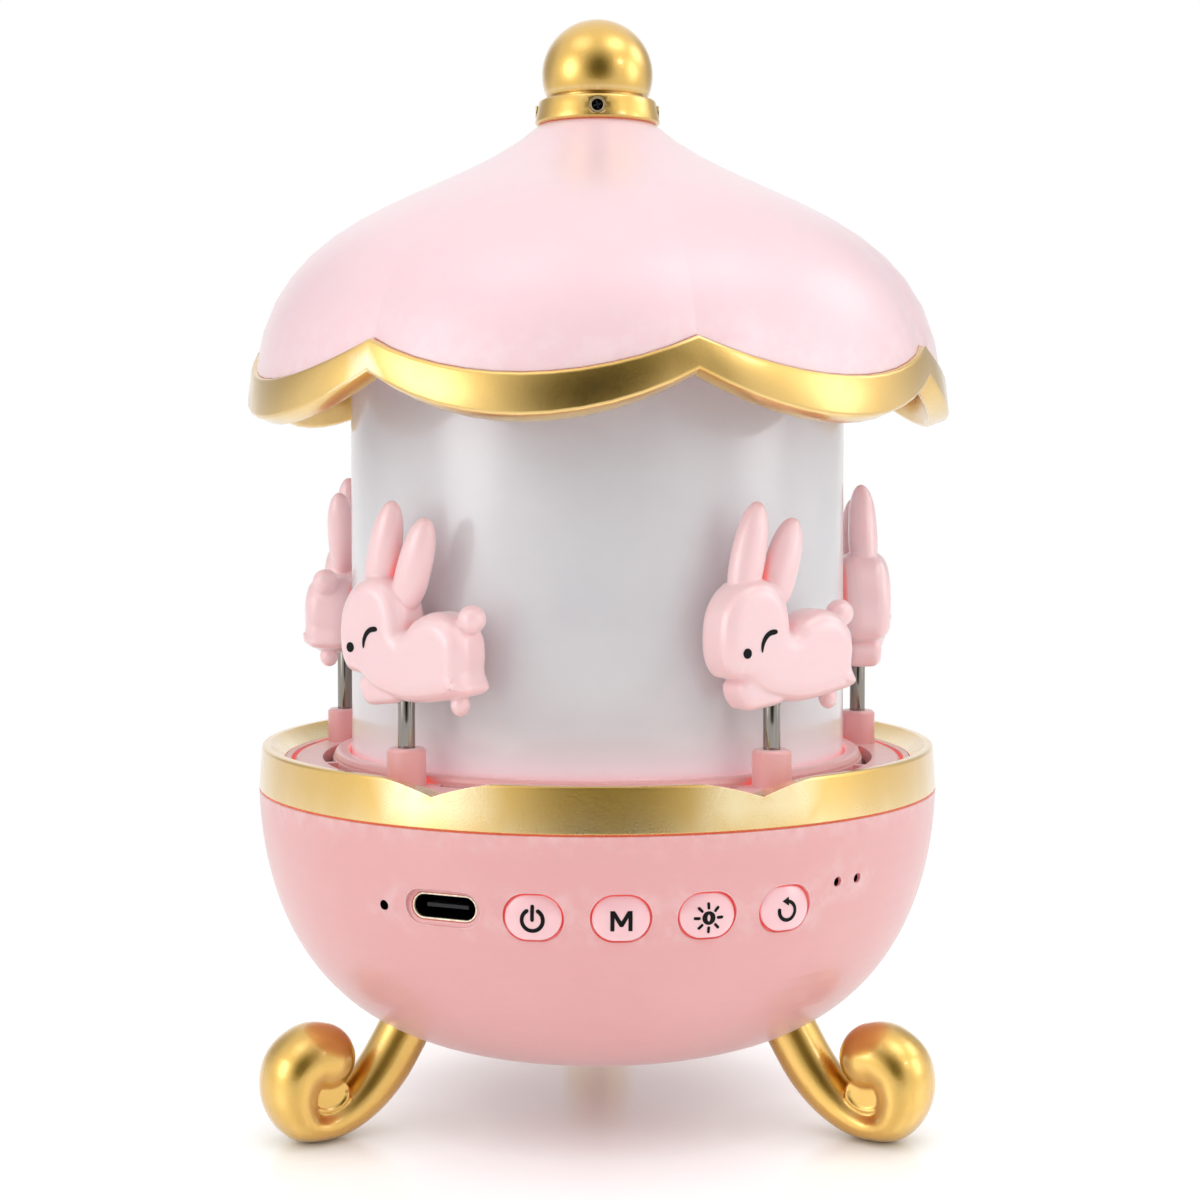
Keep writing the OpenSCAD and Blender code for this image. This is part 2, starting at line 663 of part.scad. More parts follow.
module base_bowl() {
  inner_floor = bowl_z + bowl_wall;
  color(pink) difference() {
    bowl_body(0, rim_z);
    difference() {
      bowl_body(-bowl_wall, rim_z + 1);
      for (a = deck_screw_azimuths)
        around(a, deck_screw_circle_r) translate([0, 0, bowl_z])
          cylinder(r = deck_screw_boss_r, h = deck_bottom_z - bowl_z, $fn = 32);
      for (a = foot_azimuths)
        at_foot_root(a) translate([0, 0, -3]) cylinder(r = socket_r, h = socket_length + 3, $fn = 48);
    }
    for (a = deck_screw_azimuths)
      around(a, deck_screw_circle_r) translate([0, 0, deck_bottom_z - deck_screw_length])
        cylinder(r = deck_screw_r + seat_gap, h = deck_screw_length + 1, $fn = 24);
    for (a = foot_azimuths)
      at_foot_root(a) {
        translate([0, 0, -3]) cylinder(r = tenon_r + print_gap, h = tenon_length + 3 + print_gap, $fn = 48);
        cylinder(r = foot_screw_r + 0.15, h = socket_length + 1, $fn = 24);
      }
    for (i = [0:3])
      around(button_azimuth + i * button_pitch) translate([0, 0, control_z])
        stadium_prism(button_w + 2 * button_gap, button_h + 2 * button_gap, board_r - 4, bowl_r + 1);
    around(usb_azimuth) translate([0, 0, control_z + usb_rise]) {
      stadium_prism(usb_w + 2 * print_gap, usb_h + 2 * print_gap, board_r - 4, bowl_r + 1);
      stadium_prism(usb_w + 2 * usb_pocket_rim, usb_h + 2 * usb_pocket_rim,
        bowl_radius(control_z + usb_rise) - usb_pocket, bowl_r + 1);
    }
    around(led_azimuth) translate([0, 0, control_z]) radial_rod(pin_hole_r, board_r - 4, bowl_r + 1);
    for (i = [0:1])
      around(mic_azimuth + i * mic_pitch) translate([0, 0, control_z + mic_rise])
        radial_rod(pin_hole_r, board_r - 4, bowl_r + 1);
    for (ring = [[1, 0], [6, 4.5], [12, 9]])
      for (k = [0:ring[0] - 1])
        around(360 * k / ring[0], ring[1]) translate([0, 0, bowl_z - 1])
          cylinder(r = grille_hole_r, h = bowl_wall + 2, $fn = 24);
  }
}

module rim_band() {
  edge = 0.35;
  top_r = bowl_r - rim_taper;
  lip_in_r = top_r - rim_lip;
  color(gold) difference() {
    rotate_extrude($fn = 128) polygon([
      [rim_in_r, rim_z], [bowl_r - edge, rim_z], [bowl_r, rim_z + edge],
      [top_r, rim_top_z - edge], [top_r - 0.3 * edge, rim_top_z - 0.3 * edge], [top_r - edge, rim_top_z],
      [lip_in_r + edge, rim_top_z], [lip_in_r, rim_top_z - edge],
      [rim_in_r, deck_z], [rim_in_r, rim_z]]);
    for (a = [rim_notch_azimuth, -rim_notch_azimuth, 180 - rim_notch_azimuth, 180 + rim_notch_azimuth])
      around(a) rim_notch();
  }
}

// A notch with two hollow flanks that meet in a low point, cut outward through the band
module rim_notch() {
  steps = 6;
  run_out = 0.04;
  side = [for (i = [0:steps]) let (u = i / steps)
    [rim_notch_half_w * u, rim_top_z + run_out - (rim_notch_depth + run_out) * (1 - u) ^ 1.6]];
  points = concat([for (i = [steps:-1:1]) [-side[i].x, side[i].y]], side,
    [[rim_notch_half_w, rim_top_z + 1], [-rim_notch_half_w, rim_top_z + 1]]);
  translate([0, -rim_in_r + 2, 0]) rotate([90, 0, 0]) linear_extrude(bowl_r) polygon(points);
}

module top_deck() {
  plate_r = bowl_inner_radius(deck_bottom_z) - free_gap;
  drum_in_r = diffuser_r - drum_wall;
  rail_r = ring_pitch_r + dedendum + 0.2;
  color(pink) difference() {
    union() {
      rotate_extrude($fn = 128) polygon([
        [0, deck_bottom_z], [plate_r, deck_bottom_z], [plate_r, channel_z], [deck_wall_r, channel_z],
        [deck_wall_r, deck_z], [deck_wall_in_r, deck_z], [deck_wall_in_r, channel_z],
        [rail_r + rail_w, channel_z], [rail_r + rail_w, ring_bottom_z - free_gap],
        [rail_r, ring_bottom_z - free_gap], [rail_r, channel_z], [diffuser_r, channel_z],
        [diffuser_r, drum_roof_z], [0, drum_roof_z], [0, drum_roof_z - drum_roof_t],
        [drum_in_r, drum_roof_z - drum_roof_t], [drum_in_r, channel_z], [0, channel_z]]);
      for (a = board_post_azimuths)
        around(a, board_post_circle_r) translate([0, 0, board_top_z])
          cylinder(r = board_post_r, h = deck_bottom_z - board_top_z + 0.5, $fn = 32);
    }
    translate([battery_place.x, battery_place.y, deck_bottom_z])
      cube([battery_size.x + 2 * battery_room, battery_size.y + 2 * battery_room, 3 * deck_plate_t],
        center = true);
    around(motor_azimuth, pinion_axis_r) translate([0, 0, channel_z])
      cylinder(r = pinion_room_r, h = drum_roof_z - drum_roof_t - channel_z, $fn = 64);
    around(motor_azimuth, pinion_axis_r) translate([0, 0, deck_bottom_z - 1])
      cylinder(r = motor_bush_r + free_gap, h = deck_plate_t + 2, $fn = 32);
    for (side = [-1, 1])
      around(motor_azimuth, motor_centre_r) translate([side * motor_ear_pitch, 0, deck_bottom_z - 1])
        cylinder(r = motor_screw_r + seat_gap, h = deck_plate_t + 2, $fn = 24);
    for (a = deck_screw_azimuths)
      around(a, deck_screw_circle_r) translate([0, 0, deck_bottom_z - 1])
        cylinder(r = deck_screw_r + 0.2, h = deck_plate_t + 2, $fn = 24);
    for (a = board_post_azimuths)
      around(a, board_post_circle_r) translate([0, 0, board_top_z - 1])
        cylinder(r = board_screw_r + seat_gap, h = 5, $fn = 24);
  }
}

module deck_screws() {
  color(steel) for (a = deck_screw_azimuths)
    around(a, deck_screw_circle_r)
      translate([0, 0, channel_z - deck_screw_length])
        screw(deck_screw_r, deck_screw_length, 2, 1.2, 1.3);
}

// One push button: a domed cap, its flange behind the wall and a plunger
module button(i) {
  color(pink) around(button_azimuth + i * button_pitch) translate([0, 0, control_z]) {
    intersection() {
      stadium_prism(button_w, button_h, cap_flange_r - cap_flange_t, cap_face_r + 1);
      translate([0, -cap_face_r + cap_dome_r, 0]) sphere(r = cap_dome_r, $fn = 96);
    }
    stadium_prism(button_w + 2 * cap_flange_w, button_h + 2 * cap_flange_w,
      cap_flange_r - cap_flange_t, cap_flange_r);
    radial_rod(1.2, cap_flange_r - cap_flange_t - plunger_length, cap_flange_r);
  }
}

module control_board() {
  color(board_green) difference() {
    translate([0, 0, board_top_z - board_t]) rotate([0, 0, board_from - 90])
      rotate_extrude(angle = board_to - board_from, $fn = 128)
        translate([board_in_r, 0]) square([board_r - board_in_r, board_t]);
    for (a = board_post_azimuths)
      around(a, board_post_circle_r) translate([0, 0, board_top_z - board_t - 1])
        cylinder(r = board_screw_r + 0.15, h = board_t + 2, $fn = 24);
  }
}

module board_screws() {
  length = 4.5;
  color(steel) for (a = board_post_azimuths)
    around(a, board_post_circle_r) translate([0, 0, board_top_z - board_t + length])
      mirror([0, 0, 1]) screw(board_screw_r, length, 1.5, 0.9, 1);
}

module tact_switches() {
  tip_r = switch_tip_r;
  body_out_r = tip_r - 0.8;
  color("dimgray") for (i = [0:3])
    around(button_azimuth + i * button_pitch) {
      translate([-switch_size.x / 2, -body_out_r, board_top_z]) cube(switch_size);
      translate([0, 0, control_z]) radial_rod(0.9, body_out_r - 0.5, tip_r);
    }
}

module usb_port() {
  mouth_r = bowl_radius(control_z + usb_rise) - usb_pocket - 0.1;
  back_r = mouth_r - usb_depth;
  color(steel) around(usb_azimuth) translate([0, 0, control_z + usb_rise]) {
    difference() {
      stadium_prism(usb_w, usb_h, back_r, mouth_r);
      stadium_prism(usb_w - 2 * usb_wall, usb_h - 2 * usb_wall, back_r + 1, mouth_r + 1);
    }
    translate([-6.7 / 2, -mouth_r + 0.7, -0.35]) cube([6.7, usb_depth - 1.2, 0.7]);
    for (side = [-1, 1])
      translate([side * usb_w / 3 - 0.5, -board_r, board_top_z - control_z - usb_rise])
        cube([1, board_r - back_r, 0.6]);
  }
}

module status_led() {
  pipe_r = bowl_radius(control_z) - 0.8;
  color("white") around(led_azimuth) {
    translate([-1.5, -board_r, board_top_z]) cube([3, 2.2, switch_size.z]);
    translate([0, 0, control_z]) radial_rod(pin_hole_r - print_gap, board_r - 0.5, pipe_r);
  }
}

module mic_capsules() {
  capsule_r = 1.1;
  front_r = bowl_inner_radius(control_z) - 0.8;
  color("dimgray") for (i = [0:1])
    around(mic_azimuth + i * mic_pitch) {
      translate([-1.4, -board_r, board_top_z])
        cube([2.8, 1.8, control_z + mic_rise + capsule_r - board_top_z]);
      translate([0, 0, control_z + mic_rise]) radial_rod(capsule_r, board_r - 0.5, front_r);
    }
}

// ---------------------------------------------------------------- drive and power

module gear_motor() {
  can_z = deck_bottom_z - motor_h;
  bush_z = deck_bottom_z + 1;
  color(steel) around(motor_azimuth) difference() {
    union() {
      translate([0, -motor_centre_r, can_z]) cylinder(r = motor_r, h = motor_h, $fn = 64);
      translate([0, -pinion_axis_r, can_z + 2]) cylinder(r = motor_bush_r, h = bush_z - can_z - 2, $fn = 48);
      for (side = [-1, 1])
        translate([side * motor_ear_pitch, -motor_centre_r, deck_bottom_z - motor_ear_t])
          cylinder(r = motor_ear_r, h = motor_ear_t, $fn = 32);
      translate([-motor_ear_pitch, -motor_centre_r - motor_ear_r, deck_bottom_z - motor_ear_t])
        cube([2 * motor_ear_pitch, 2 * motor_ear_r, motor_ear_t]);
    }
    translate([0, -pinion_axis_r, deck_bottom_z - 5]) cylinder(r = shaft_r + running_gap, h = 10, $fn = 32);
    for (side = [-1, 1])
      translate([side * motor_ear_pitch, -motor_centre_r, deck_bottom_z - motor_ear_t - 1])
        cylinder(r = motor_screw_r + 0.15, h = motor_ear_t + 2, $fn = 24);
  }
}

module motor_screws() {
  length = motor_ear_t + deck_plate_t - 0.3;
  color(steel) for (side = [-1, 1])
    around(motor_azimuth, motor_centre_r)
      translate([side * motor_ear_pitch, 0, deck_bottom_z - motor_ear_t + length])
        mirror([0, 0, 1]) screw(motor_screw_r, length, 1.9, 1.2, 1.2);
}

module motor_shaft() {
  bottom = deck_bottom_z - 5 + free_gap;
  color(steel) around(motor_azimuth, pinion_axis_r) translate([0, 0, bottom])
    cylinder(r = shaft_r, h = pinion_top_z - bottom, $fn = 32);
}

module drive_pinion() {
  color(milky) around(motor_azimuth, pinion_axis_r) translate([0, 0, pinion_z]) difference() {
    rotate([0, 0, -90]) linear_extrude(pinion_top_z - pinion_z)
      polygon(gear_outline(pinion_pitch_r, pinion_teeth, pinion_pitch_r - dedendum,
        pinion_pitch_r + addendum, backlash));
    translate([0, 0, -1]) cylinder(r = shaft_r + 0.02, h = pinion_top_z - pinion_z + 2, $fn = 32);
  }
}

module battery() {
  color("silver") translate([battery_place.x - battery_size.x / 2, battery_place.y - battery_size.y / 2,
    drum_roof_z - drum_roof_t - battery_size.z]) cube(battery_size);
}

module speaker() {
  frame_r = bowl_bottom_r - 2;
  floor_z = bowl_z + bowl_wall;
  color(black) translate([0, 0, floor_z]) rotate_extrude($fn = 64) polygon([
    [0, 1.6], [3.5, 1.2], [frame_r - 3, 2.4], [frame_r - 2, 0], [frame_r, 0], [frame_r, 2],
    [frame_r - 4, 4.6], [8.5, 4.6], [8.5, 8], [0, 8]]);
}

// ---------------------------------------------------------------- feet

leg_drop_steps = 14;
leg_curl_steps = 8;
// Centres of the leg's rings in its own half plane, with the tube's radius as a third number
leg_rings = concat(
  [for (i = [0:leg_drop_steps]) let (p = bezier(leg_drop, i / leg_drop_steps)) [p.x, p.y, leg_r]],
  [for (i = [1:leg_curl_steps]) let (t = i / leg_curl_steps, p = bezier(leg_curl, t))
    [p.x, p.y, leg_r + (scroll_r - 0.3 - leg_r) * t ^ 1.3]]);
function leg_tangent(i) = let (a = leg_rings[max(i - 1, 0)], b = leg_rings[min(i + 1, len(leg_rings) - 1)],
  d = [b.x - a.x, b.y - a.y]) d / norm(d);

module foot(azimuth) {
  count = len(leg_rings);
  points = [for (i = [0:count - 1]) let (c = leg_rings[i], t = i == 0 ? foot_axis : leg_tangent(i))
    for (j = [0:leg_sides - 1]) let (a = -360 * j / leg_sides)
      [c.z * sin(a), -(c.x - c.z * cos(a) * t.y), c.y + c.z * cos(a) * t.x]];
  faces = concat([[for (j = [0:leg_sides - 1]) j]], ring_faces(count, leg_sides, false),
    [[for (j = [leg_sides - 1:-1:0]) (count - 1) * leg_sides + j]]);
  color(gold) difference() {
    union() {
      around(azimuth) {
        polyhedron(points = points, faces = faces);
        translate([0, -scroll_at.x, scroll_at.y]) sphere(r = scroll_r, $fn = 64);
      }
      at_foot_root(azimuth) translate([0, 0, -1.5]) cylinder(r = tenon_r, h = tenon_length + 1.5, $fn = 32);
    }
    around(azimuth) {
      translate([-2 * scroll_r, -2 * foot_floor_r, -leg_r]) cube([4 * scroll_r, 2 * foot_floor_r, leg_r]);
      for (side = [-1, 1])
        translate([side * (scroll_r + eye_web_t / 2), -eye_at.x, eye_at.y]) rotate([0, 90, 0])
          cylinder(r = eye_r, h = 2 * scroll_r, center = true, $fn = 32);
    }
    at_foot_root(azimuth) translate([0, 0, socket_length - foot_screw_length - 0.5])
      cylinder(r = foot_screw_r + seat_gap, h = 20, $fn = 24);
  }
}

module foot_screws() {
  color(steel) for (a = foot_azimuths)
    at_foot_root(a) translate([0, 0, socket_length - foot_screw_length])
      screw(foot_screw_r, foot_screw_length, 2.7, 2, 1.6);
}

// ---------------------------------------------------------------- nodes

finial_ball();
finial_collar();
collar_screws();
canopy_shell();
canopy_trim();
canopy_plate();
diffuser();
led_board();
leds();
carousel_ring();
ring_gear();
rod(0);  // rod_1
rod(1);  // rod_2
rod(2);  // rod_3
rod(3);  // rod_4
rod(4);  // rod_5
rabbit(0);  // rabbit_1
rabbit(1);  // rabbit_2
rabbit(2);  // rabbit_3
rabbit(3);  // rabbit_4
rabbit(4);  // rabbit_5
base_bowl();
rim_band();
top_deck();
deck_screws();
button(0);  // button_power
button(1);  // button_mode
button(2);  // button_light
button(3);  // button_turn
control_board();
board_screws();
tact_switches();
usb_port();
status_led();
mic_capsules();
gear_motor();
motor_screws();
motor_shaft();
drive_pinion();
battery();
speaker();
foot(foot_azimuths[0]);  // foot_left
foot(foot_azimuths[1]);  // foot_right
foot(foot_azimuths[2]);  // foot_rear
foot_screws();
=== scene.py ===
"""A carousel night light that plays music: a gold ball on a pink petal dome with a gold trim, a milky
light tube, five rabbits on a turning ring, and a pink bowl with four buttons on gold scroll feet."""

import math

import bpy
from mathutils import Matrix, Vector
from mathutils.bvhtree import BVHTree


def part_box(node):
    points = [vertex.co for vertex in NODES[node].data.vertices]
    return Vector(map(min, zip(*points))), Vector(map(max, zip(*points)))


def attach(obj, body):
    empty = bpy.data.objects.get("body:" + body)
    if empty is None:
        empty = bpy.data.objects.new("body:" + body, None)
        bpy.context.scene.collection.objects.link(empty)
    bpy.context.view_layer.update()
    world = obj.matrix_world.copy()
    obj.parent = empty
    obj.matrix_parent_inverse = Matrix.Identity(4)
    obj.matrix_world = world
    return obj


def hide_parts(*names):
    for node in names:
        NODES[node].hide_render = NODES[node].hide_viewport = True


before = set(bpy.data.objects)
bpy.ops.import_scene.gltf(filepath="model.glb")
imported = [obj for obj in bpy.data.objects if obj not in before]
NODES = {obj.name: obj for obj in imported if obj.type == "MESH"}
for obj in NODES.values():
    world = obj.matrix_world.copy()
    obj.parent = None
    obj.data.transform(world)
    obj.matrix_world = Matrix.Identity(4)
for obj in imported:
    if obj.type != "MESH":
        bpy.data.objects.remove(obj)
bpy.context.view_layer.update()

MM = 0.001
BOWL_SKIN = BVHTree.FromPolygons(
    [vertex.co for vertex in NODES["base_bowl"].data.vertices],
    [face.vertices for face in NODES["base_bowl"].data.polygons])

# ---------------------------------------------------------------- the object, in millimetres and degrees

CONTROL_Z = 34.2
BUTTON_AZIMUTH = -9.8
BUTTON_PITCH = 13.4
BUTTON_NAMES = ("power", "mode", "light", "turn")
BUTTON_W = 7.0
BUTTON_H = 5.4
BUTTON_GAP = 0.3
CAP_DOME_R = 9.0
CAP_PROUD = 0.45
CAP_EDGE = 0.4
GAP_DEPTH = 0.45
LIP_WIRE_R = 0.1
USB_AZIMUTH = -24.6
USB_RISE = 0.4
USB_W = 8.94
USB_H = 3.26
USB_DEPTH = 7.3
USB_RECESS_MARGIN = 0.72
LED_AZIMUTH = -35.3
MIC_AZIMUTHS = (40.5, 45.1)
MIC_RISE = 2.45
PIN_HOLE_R = 0.65
ROD_CIRCLE_R = 39.2
ROD_EDGE = 0.15
RABBIT_AZIMUTH = 34
RABBIT_COUNT = 5
TUBE_R = 34.2
TUBE_WALL = 2.0
TUBE_EDGE = 0.25
TUBE_BOTTOM = 47.0
TUBE_TOP = 104.2
TUBE_GLOW_LOW = 47
TUBE_GLOW_HIGH = 57
RABBIT_LIFT = (0, 0, 2.4, 1, 1.5)  # how far each one sits above the first
RABBIT_TWIST = (0, 0, 12, 0, -12)  # how far each one is turned on its rod
BELLY_Z = 58.6
NOTCH_AZIMUTH = 14.9
PETAL_ANGLE = 360 / 7
VALLEY_REACH = 0.3
VALLEY_DEPTH = 0.4
VALLEY_FULL_Z = 110.0
VALLEY_END_Z = 132.0
TRIM_EDGE = 0.2
COLLAR_EDGE = 0.18
COLLAR_FACE_R = 8.45
COLLAR_Z = 137.3
SET_SCREW_R = 1.1
SET_SCREW_RIM = 0.3
SET_SCREW_CROSS = 0.45
SET_SCREW_COUNT = 4
FOOT_AZIMUTHS = {"left": -60, "right": 60, "rear": 180}


def outward(azimuth):
    """Unit vector that points away from the axis at an azimuth from the front."""
    a = math.radians(azimuth)
    return Vector((math.sin(a), -math.cos(a), 0))


def at_azimuth(azimuth, radius=0, height=0, twist=0):
    """Matrix from a piece's own millimetres, with -Y outward, to metres on the object."""
    turn = Matrix.Rotation(math.radians(azimuth), 4, "Z")
    own_turn = Matrix.Rotation(math.radians(twist), 4, "Z")
    return Matrix.Scale(MM, 4) @ turn @ Matrix.Translation((0, -radius, height)) @ own_turn


def reach(node_name, azimuth):
    """How far a CAD node reaches outward at an azimuth, in millimetres."""
    away = outward(azimuth)
    return max(vertex.co.dot(away) for vertex in NODES[node_name].data.vertices) / MM


# ---------------------------------------------------------------- shader building


class Signal:
    """A shader socket that Python sums turn into Math nodes."""

    def __init__(self, finish, socket):
        self.finish = finish
        self.socket = socket

    def sum_of(self, operation, first, second):
        return self.finish.node("ShaderNodeMath", {"operation": operation}, {0: first, 1: second})

    def __add__(self, other):
        return self.sum_of("ADD", self, other)

    __radd__ = __add__

    def __sub__(self, other):
        return self.sum_of("SUBTRACT", self, other)

    def __rsub__(self, other):
        return self.sum_of("SUBTRACT", other, self)

    def __mul__(self, other):
        return self.sum_of("MULTIPLY", self, other)

    __rmul__ = __mul__


class Finish:
    """One surface finish: a material or a world, and the nodes behind it."""

    def __init__(self, name, owner=None):
        self.material = owner or bpy.data.materials.new(name)
        self.material.use_nodes = True
        self.tree = self.material.node_tree
        self.tree.nodes.clear()

    def node(self, kind, settings=None, sockets=None, output=0):
        """Adds a node. Its settings come first, then the values and links of its sockets."""
        made = self.tree.nodes.new(kind)
        for key, value in (settings or {}).items():
            setattr(made, key, value)
        for key, value in (sockets or {}).items():
            if isinstance(value, Signal):
                self.tree.links.new(value.socket, made.inputs[key])
            else:
                made.inputs[key].default_value = value
        return Signal(self, made.outputs[output]) if len(made.outputs) else made

    def place(self):
        """Where a point lies on the object."""
        return self.node("ShaderNodeTexCoord", output="Object")

    def noise(self, size_mm, detail=2.0, roughness=0.5, stretch=(1, 1, 1)):
        """Soft random pattern from 0 to 1 whose blotches are about size_mm across."""
        where = self.node("ShaderNodeMapping", {}, {"Vector": self.place(), "Scale": stretch})
        return self.node("ShaderNodeTexNoise", {}, {
            "Vector": where, "Scale": 1 / (size_mm * MM), "Detail": detail, "Roughness": roughness})

    def length(self, vector):
        return self.node("ShaderNodeVectorMath", {"operation": "LENGTH"}, {0: vector}, output="Value")

    def between(self, share, low, high, to_low=0.0, to_high=1.0):
        """Share taken from the range low to high onto another range, smoothly and clamped."""
        return self.node("ShaderNodeMapRange", {"interpolation_type": "SMOOTHSTEP"}, {
            "Value": share, "From Min": low, "From Max": high, "To Min": to_low, "To Max": to_high})

    def blend(self, share, first, second):
        """Colour blend. A Mix node has its colour sockets after its number and vector sockets."""
        colours = {0: share, 6: first, 7: second}
        return self.node("ShaderNodeMix", {"data_type": "RGBA"}, colours, output=2)

    def dent(self, height, depth_mm, normal=None):
        """Fine relief: a height from 0 to 1 that stands depth_mm tall."""
        sockets = {"Height": height, "Distance": depth_mm * MM, "Strength": 1.0}
        if normal:
            sockets["Normal"] = normal
        return self.node("ShaderNodeBump", {}, sockets)

    def sharp_edge_share(self, low=0.52, high=0.6):
        """1 on sharp outer edges, 0 on flats and hollows."""
        return self.between(self.node("ShaderNodeNewGeometry", output="Pointiness"), low, high)

    def open_air(self, distance_mm, samples):
        """1 in the open, towards 0 where other surfaces stand closer than distance_mm."""
        reach_out = {"Distance": distance_mm * MM}
        return self.node("ShaderNodeAmbientOcclusion", {"samples": samples}, reach_out, output="AO")

    def soft_edges(self, radius_mm):
        """Edges that catch the light as if rounded."""
        return self.node("ShaderNodeBevel", {"samples": 4}, {"Radius": radius_mm * MM})

    def surface(self, **sockets):
        """The surface itself. Socket names are written with _ for a space."""
        named = {key.replace("_", " "): value for key, value in sockets.items()}
        shader = self.node("ShaderNodeBsdfPrincipled", {}, named)
        self.node("ShaderNodeOutputMaterial", {}, {"Surface": shader})
        return self.material


def paint(red, green, blue):
    """A colour as it looks on a screen, from 0 to 255, as the light values that shaders use."""
    def linear(part):
        share = part / 255
        return share / 12.92 if share <= 0.04045 else ((share + 0.055) / 1.055) ** 2.4
    return (linear(red), linear(green), linear(blue), 1)


# ---------------------------------------------------------------- finishes


def moulded_plastic(name, colour, shade, rough=0.36, coat=0.3, coat_rough=0.15, soak=0.12):
    """Glossy moulded plastic: faint mottling, fine grain, edges paler where they are sharp, and light
    handling marks.
    Soak is how much light enters it. Narrow hollows get a painted coral shade and a painted coral glow, as
    if light came through the walls."""
    made = Finish(name)
    mottle = made.between(made.noise(11, 3, 0.6), 0.3, 0.7)
    colour_here = made.blend(mottle * 0.5, colour, shade)
    specks = made.between(made.noise(0.4, 2, 0.5), 0.66, 0.75)
    colour_here = made.blend(specks * 0.1, colour_here, shade)
    # paler flecks on the sharp outer edges
    pale_edge = made.sharp_edge_share() * made.between(made.noise(2.2, 3, 0.6), 0.35, 0.7)
    colour_here = made.blend(pale_edge * 0.2, colour_here, (1, 0.93, 0.93, 1))
    handled = made.between(made.noise(14, 4, 0.65), 0.45, 0.75)
    # painted shade and glow: where other surfaces stand close, the colour turns coral
    painted_coral_hollow = made.between(made.open_air(2.5, 12), 0.12, 0.48, 1.0, 0.0)
    colour_here = made.blend(painted_coral_hollow * 0.8, colour_here, paint(255, 120, 110))
    grain = made.noise(0.3, 2, 0.6)
    waves = made.dent(made.noise(7, 1, 0.5), 0.006, made.soft_edges(0.25))
    return made.surface(
        Base_Color=colour_here,
        Roughness=rough + handled * 0.04 + pale_edge * 0.08,
        Coat_Weight=coat - handled * 0.05,
        Coat_Roughness=coat_rough,
        Subsurface_Weight=soak,
        Subsurface_Radius=(1.0, 0.3, 0.22),
        Subsurface_Scale=1.5 * MM,
        Sheen_Weight=0.4,
        Sheen_Roughness=0.35,
        # painted coral glow in the narrow hollows; the plastic is no lamp
        Emission_Color=made.blend(painted_coral_hollow, (0, 0, 0, 1), (0.5, 0.09, 0.08, 1)),
        Emission_Strength=0.45,
        Normal=made.dent(grain, 0.0025, waves),
    )


def satin_gold(name, rough=0.26, flake_mm=0.011, seam=False):
    """Vacuum-plated gold paint: fine metal flake, soft flow marks and a painted highlight along sharp
    edges. With a seam, as on the feet, it shows the fine line where the halves of the mould met, and no
    painted edge highlight."""
    made = Finish(name)
    colour, deep = paint(224, 180, 80), paint(186, 142, 54)
    flake = made.noise(0.32, 2, 0.6)
    flow = made.between(made.noise(6, 3, 0.6), 0.3, 0.7)
    sparkle = made.between(flake, 0.5, 0.8)
    tone = made.blend(flow * 0.12 + sparkle * 0.16, colour, deep)
    roughness = rough + flake * 0.1 + flow * 0.03
    relief = flake
    if seam:
        across = made.node("ShaderNodeAttribute", {"attribute_name": "across"}, output="Fac")
        distance = made.node("ShaderNodeMath", {"operation": "ABSOLUTE"}, {0: across})
        line = made.between(distance, 0.03, 0.13, 1.0, 0.0)
        relief = flake - line * 8.0
        tone = made.blend(line * 0.5, tone, deep)
    else:
        # painted highlight: sharp edges turn pale cream and a little glossier
        pale_edge = made.sharp_edge_share(0.51, 0.58)
        tone = made.blend(pale_edge * 0.7, tone, paint(255, 240, 196))
        roughness = roughness - pale_edge * 0.08
    return made.surface(
        Base_Color=tone,
        Metallic=1.0,
        Roughness=roughness,
        Coat_Weight=1.0 - flow * 0.1,
        Coat_Roughness=0.15,
        Coat_IOR=1.7,
        Normal=made.dent(relief, flake_mm, made.soft_edges(0.15)),
    )


def drawn_steel(name, colour=(168, 162, 156), rough=0.05):
    """Polished rod steel with faint lengthwise drawing marks and a few dull spots."""
    made = Finish(name)
    lines = made.noise(0.25, 3, 0.6, stretch=(1, 1, 0.03))
    spots = made.between(made.noise(1.6, 3, 0.6), 0.55, 0.75)
    red, green, blue = colour
    tone = made.blend(lines, paint(red, green, blue), paint(red - 40, green - 42, blue - 44))
    return made.surface(
        Base_Color=tone,
        Metallic=1.0,
        Roughness=rough + spots * 0.15 + lines * 0.06,
        Normal=made.dent(lines, 0.004),
    )


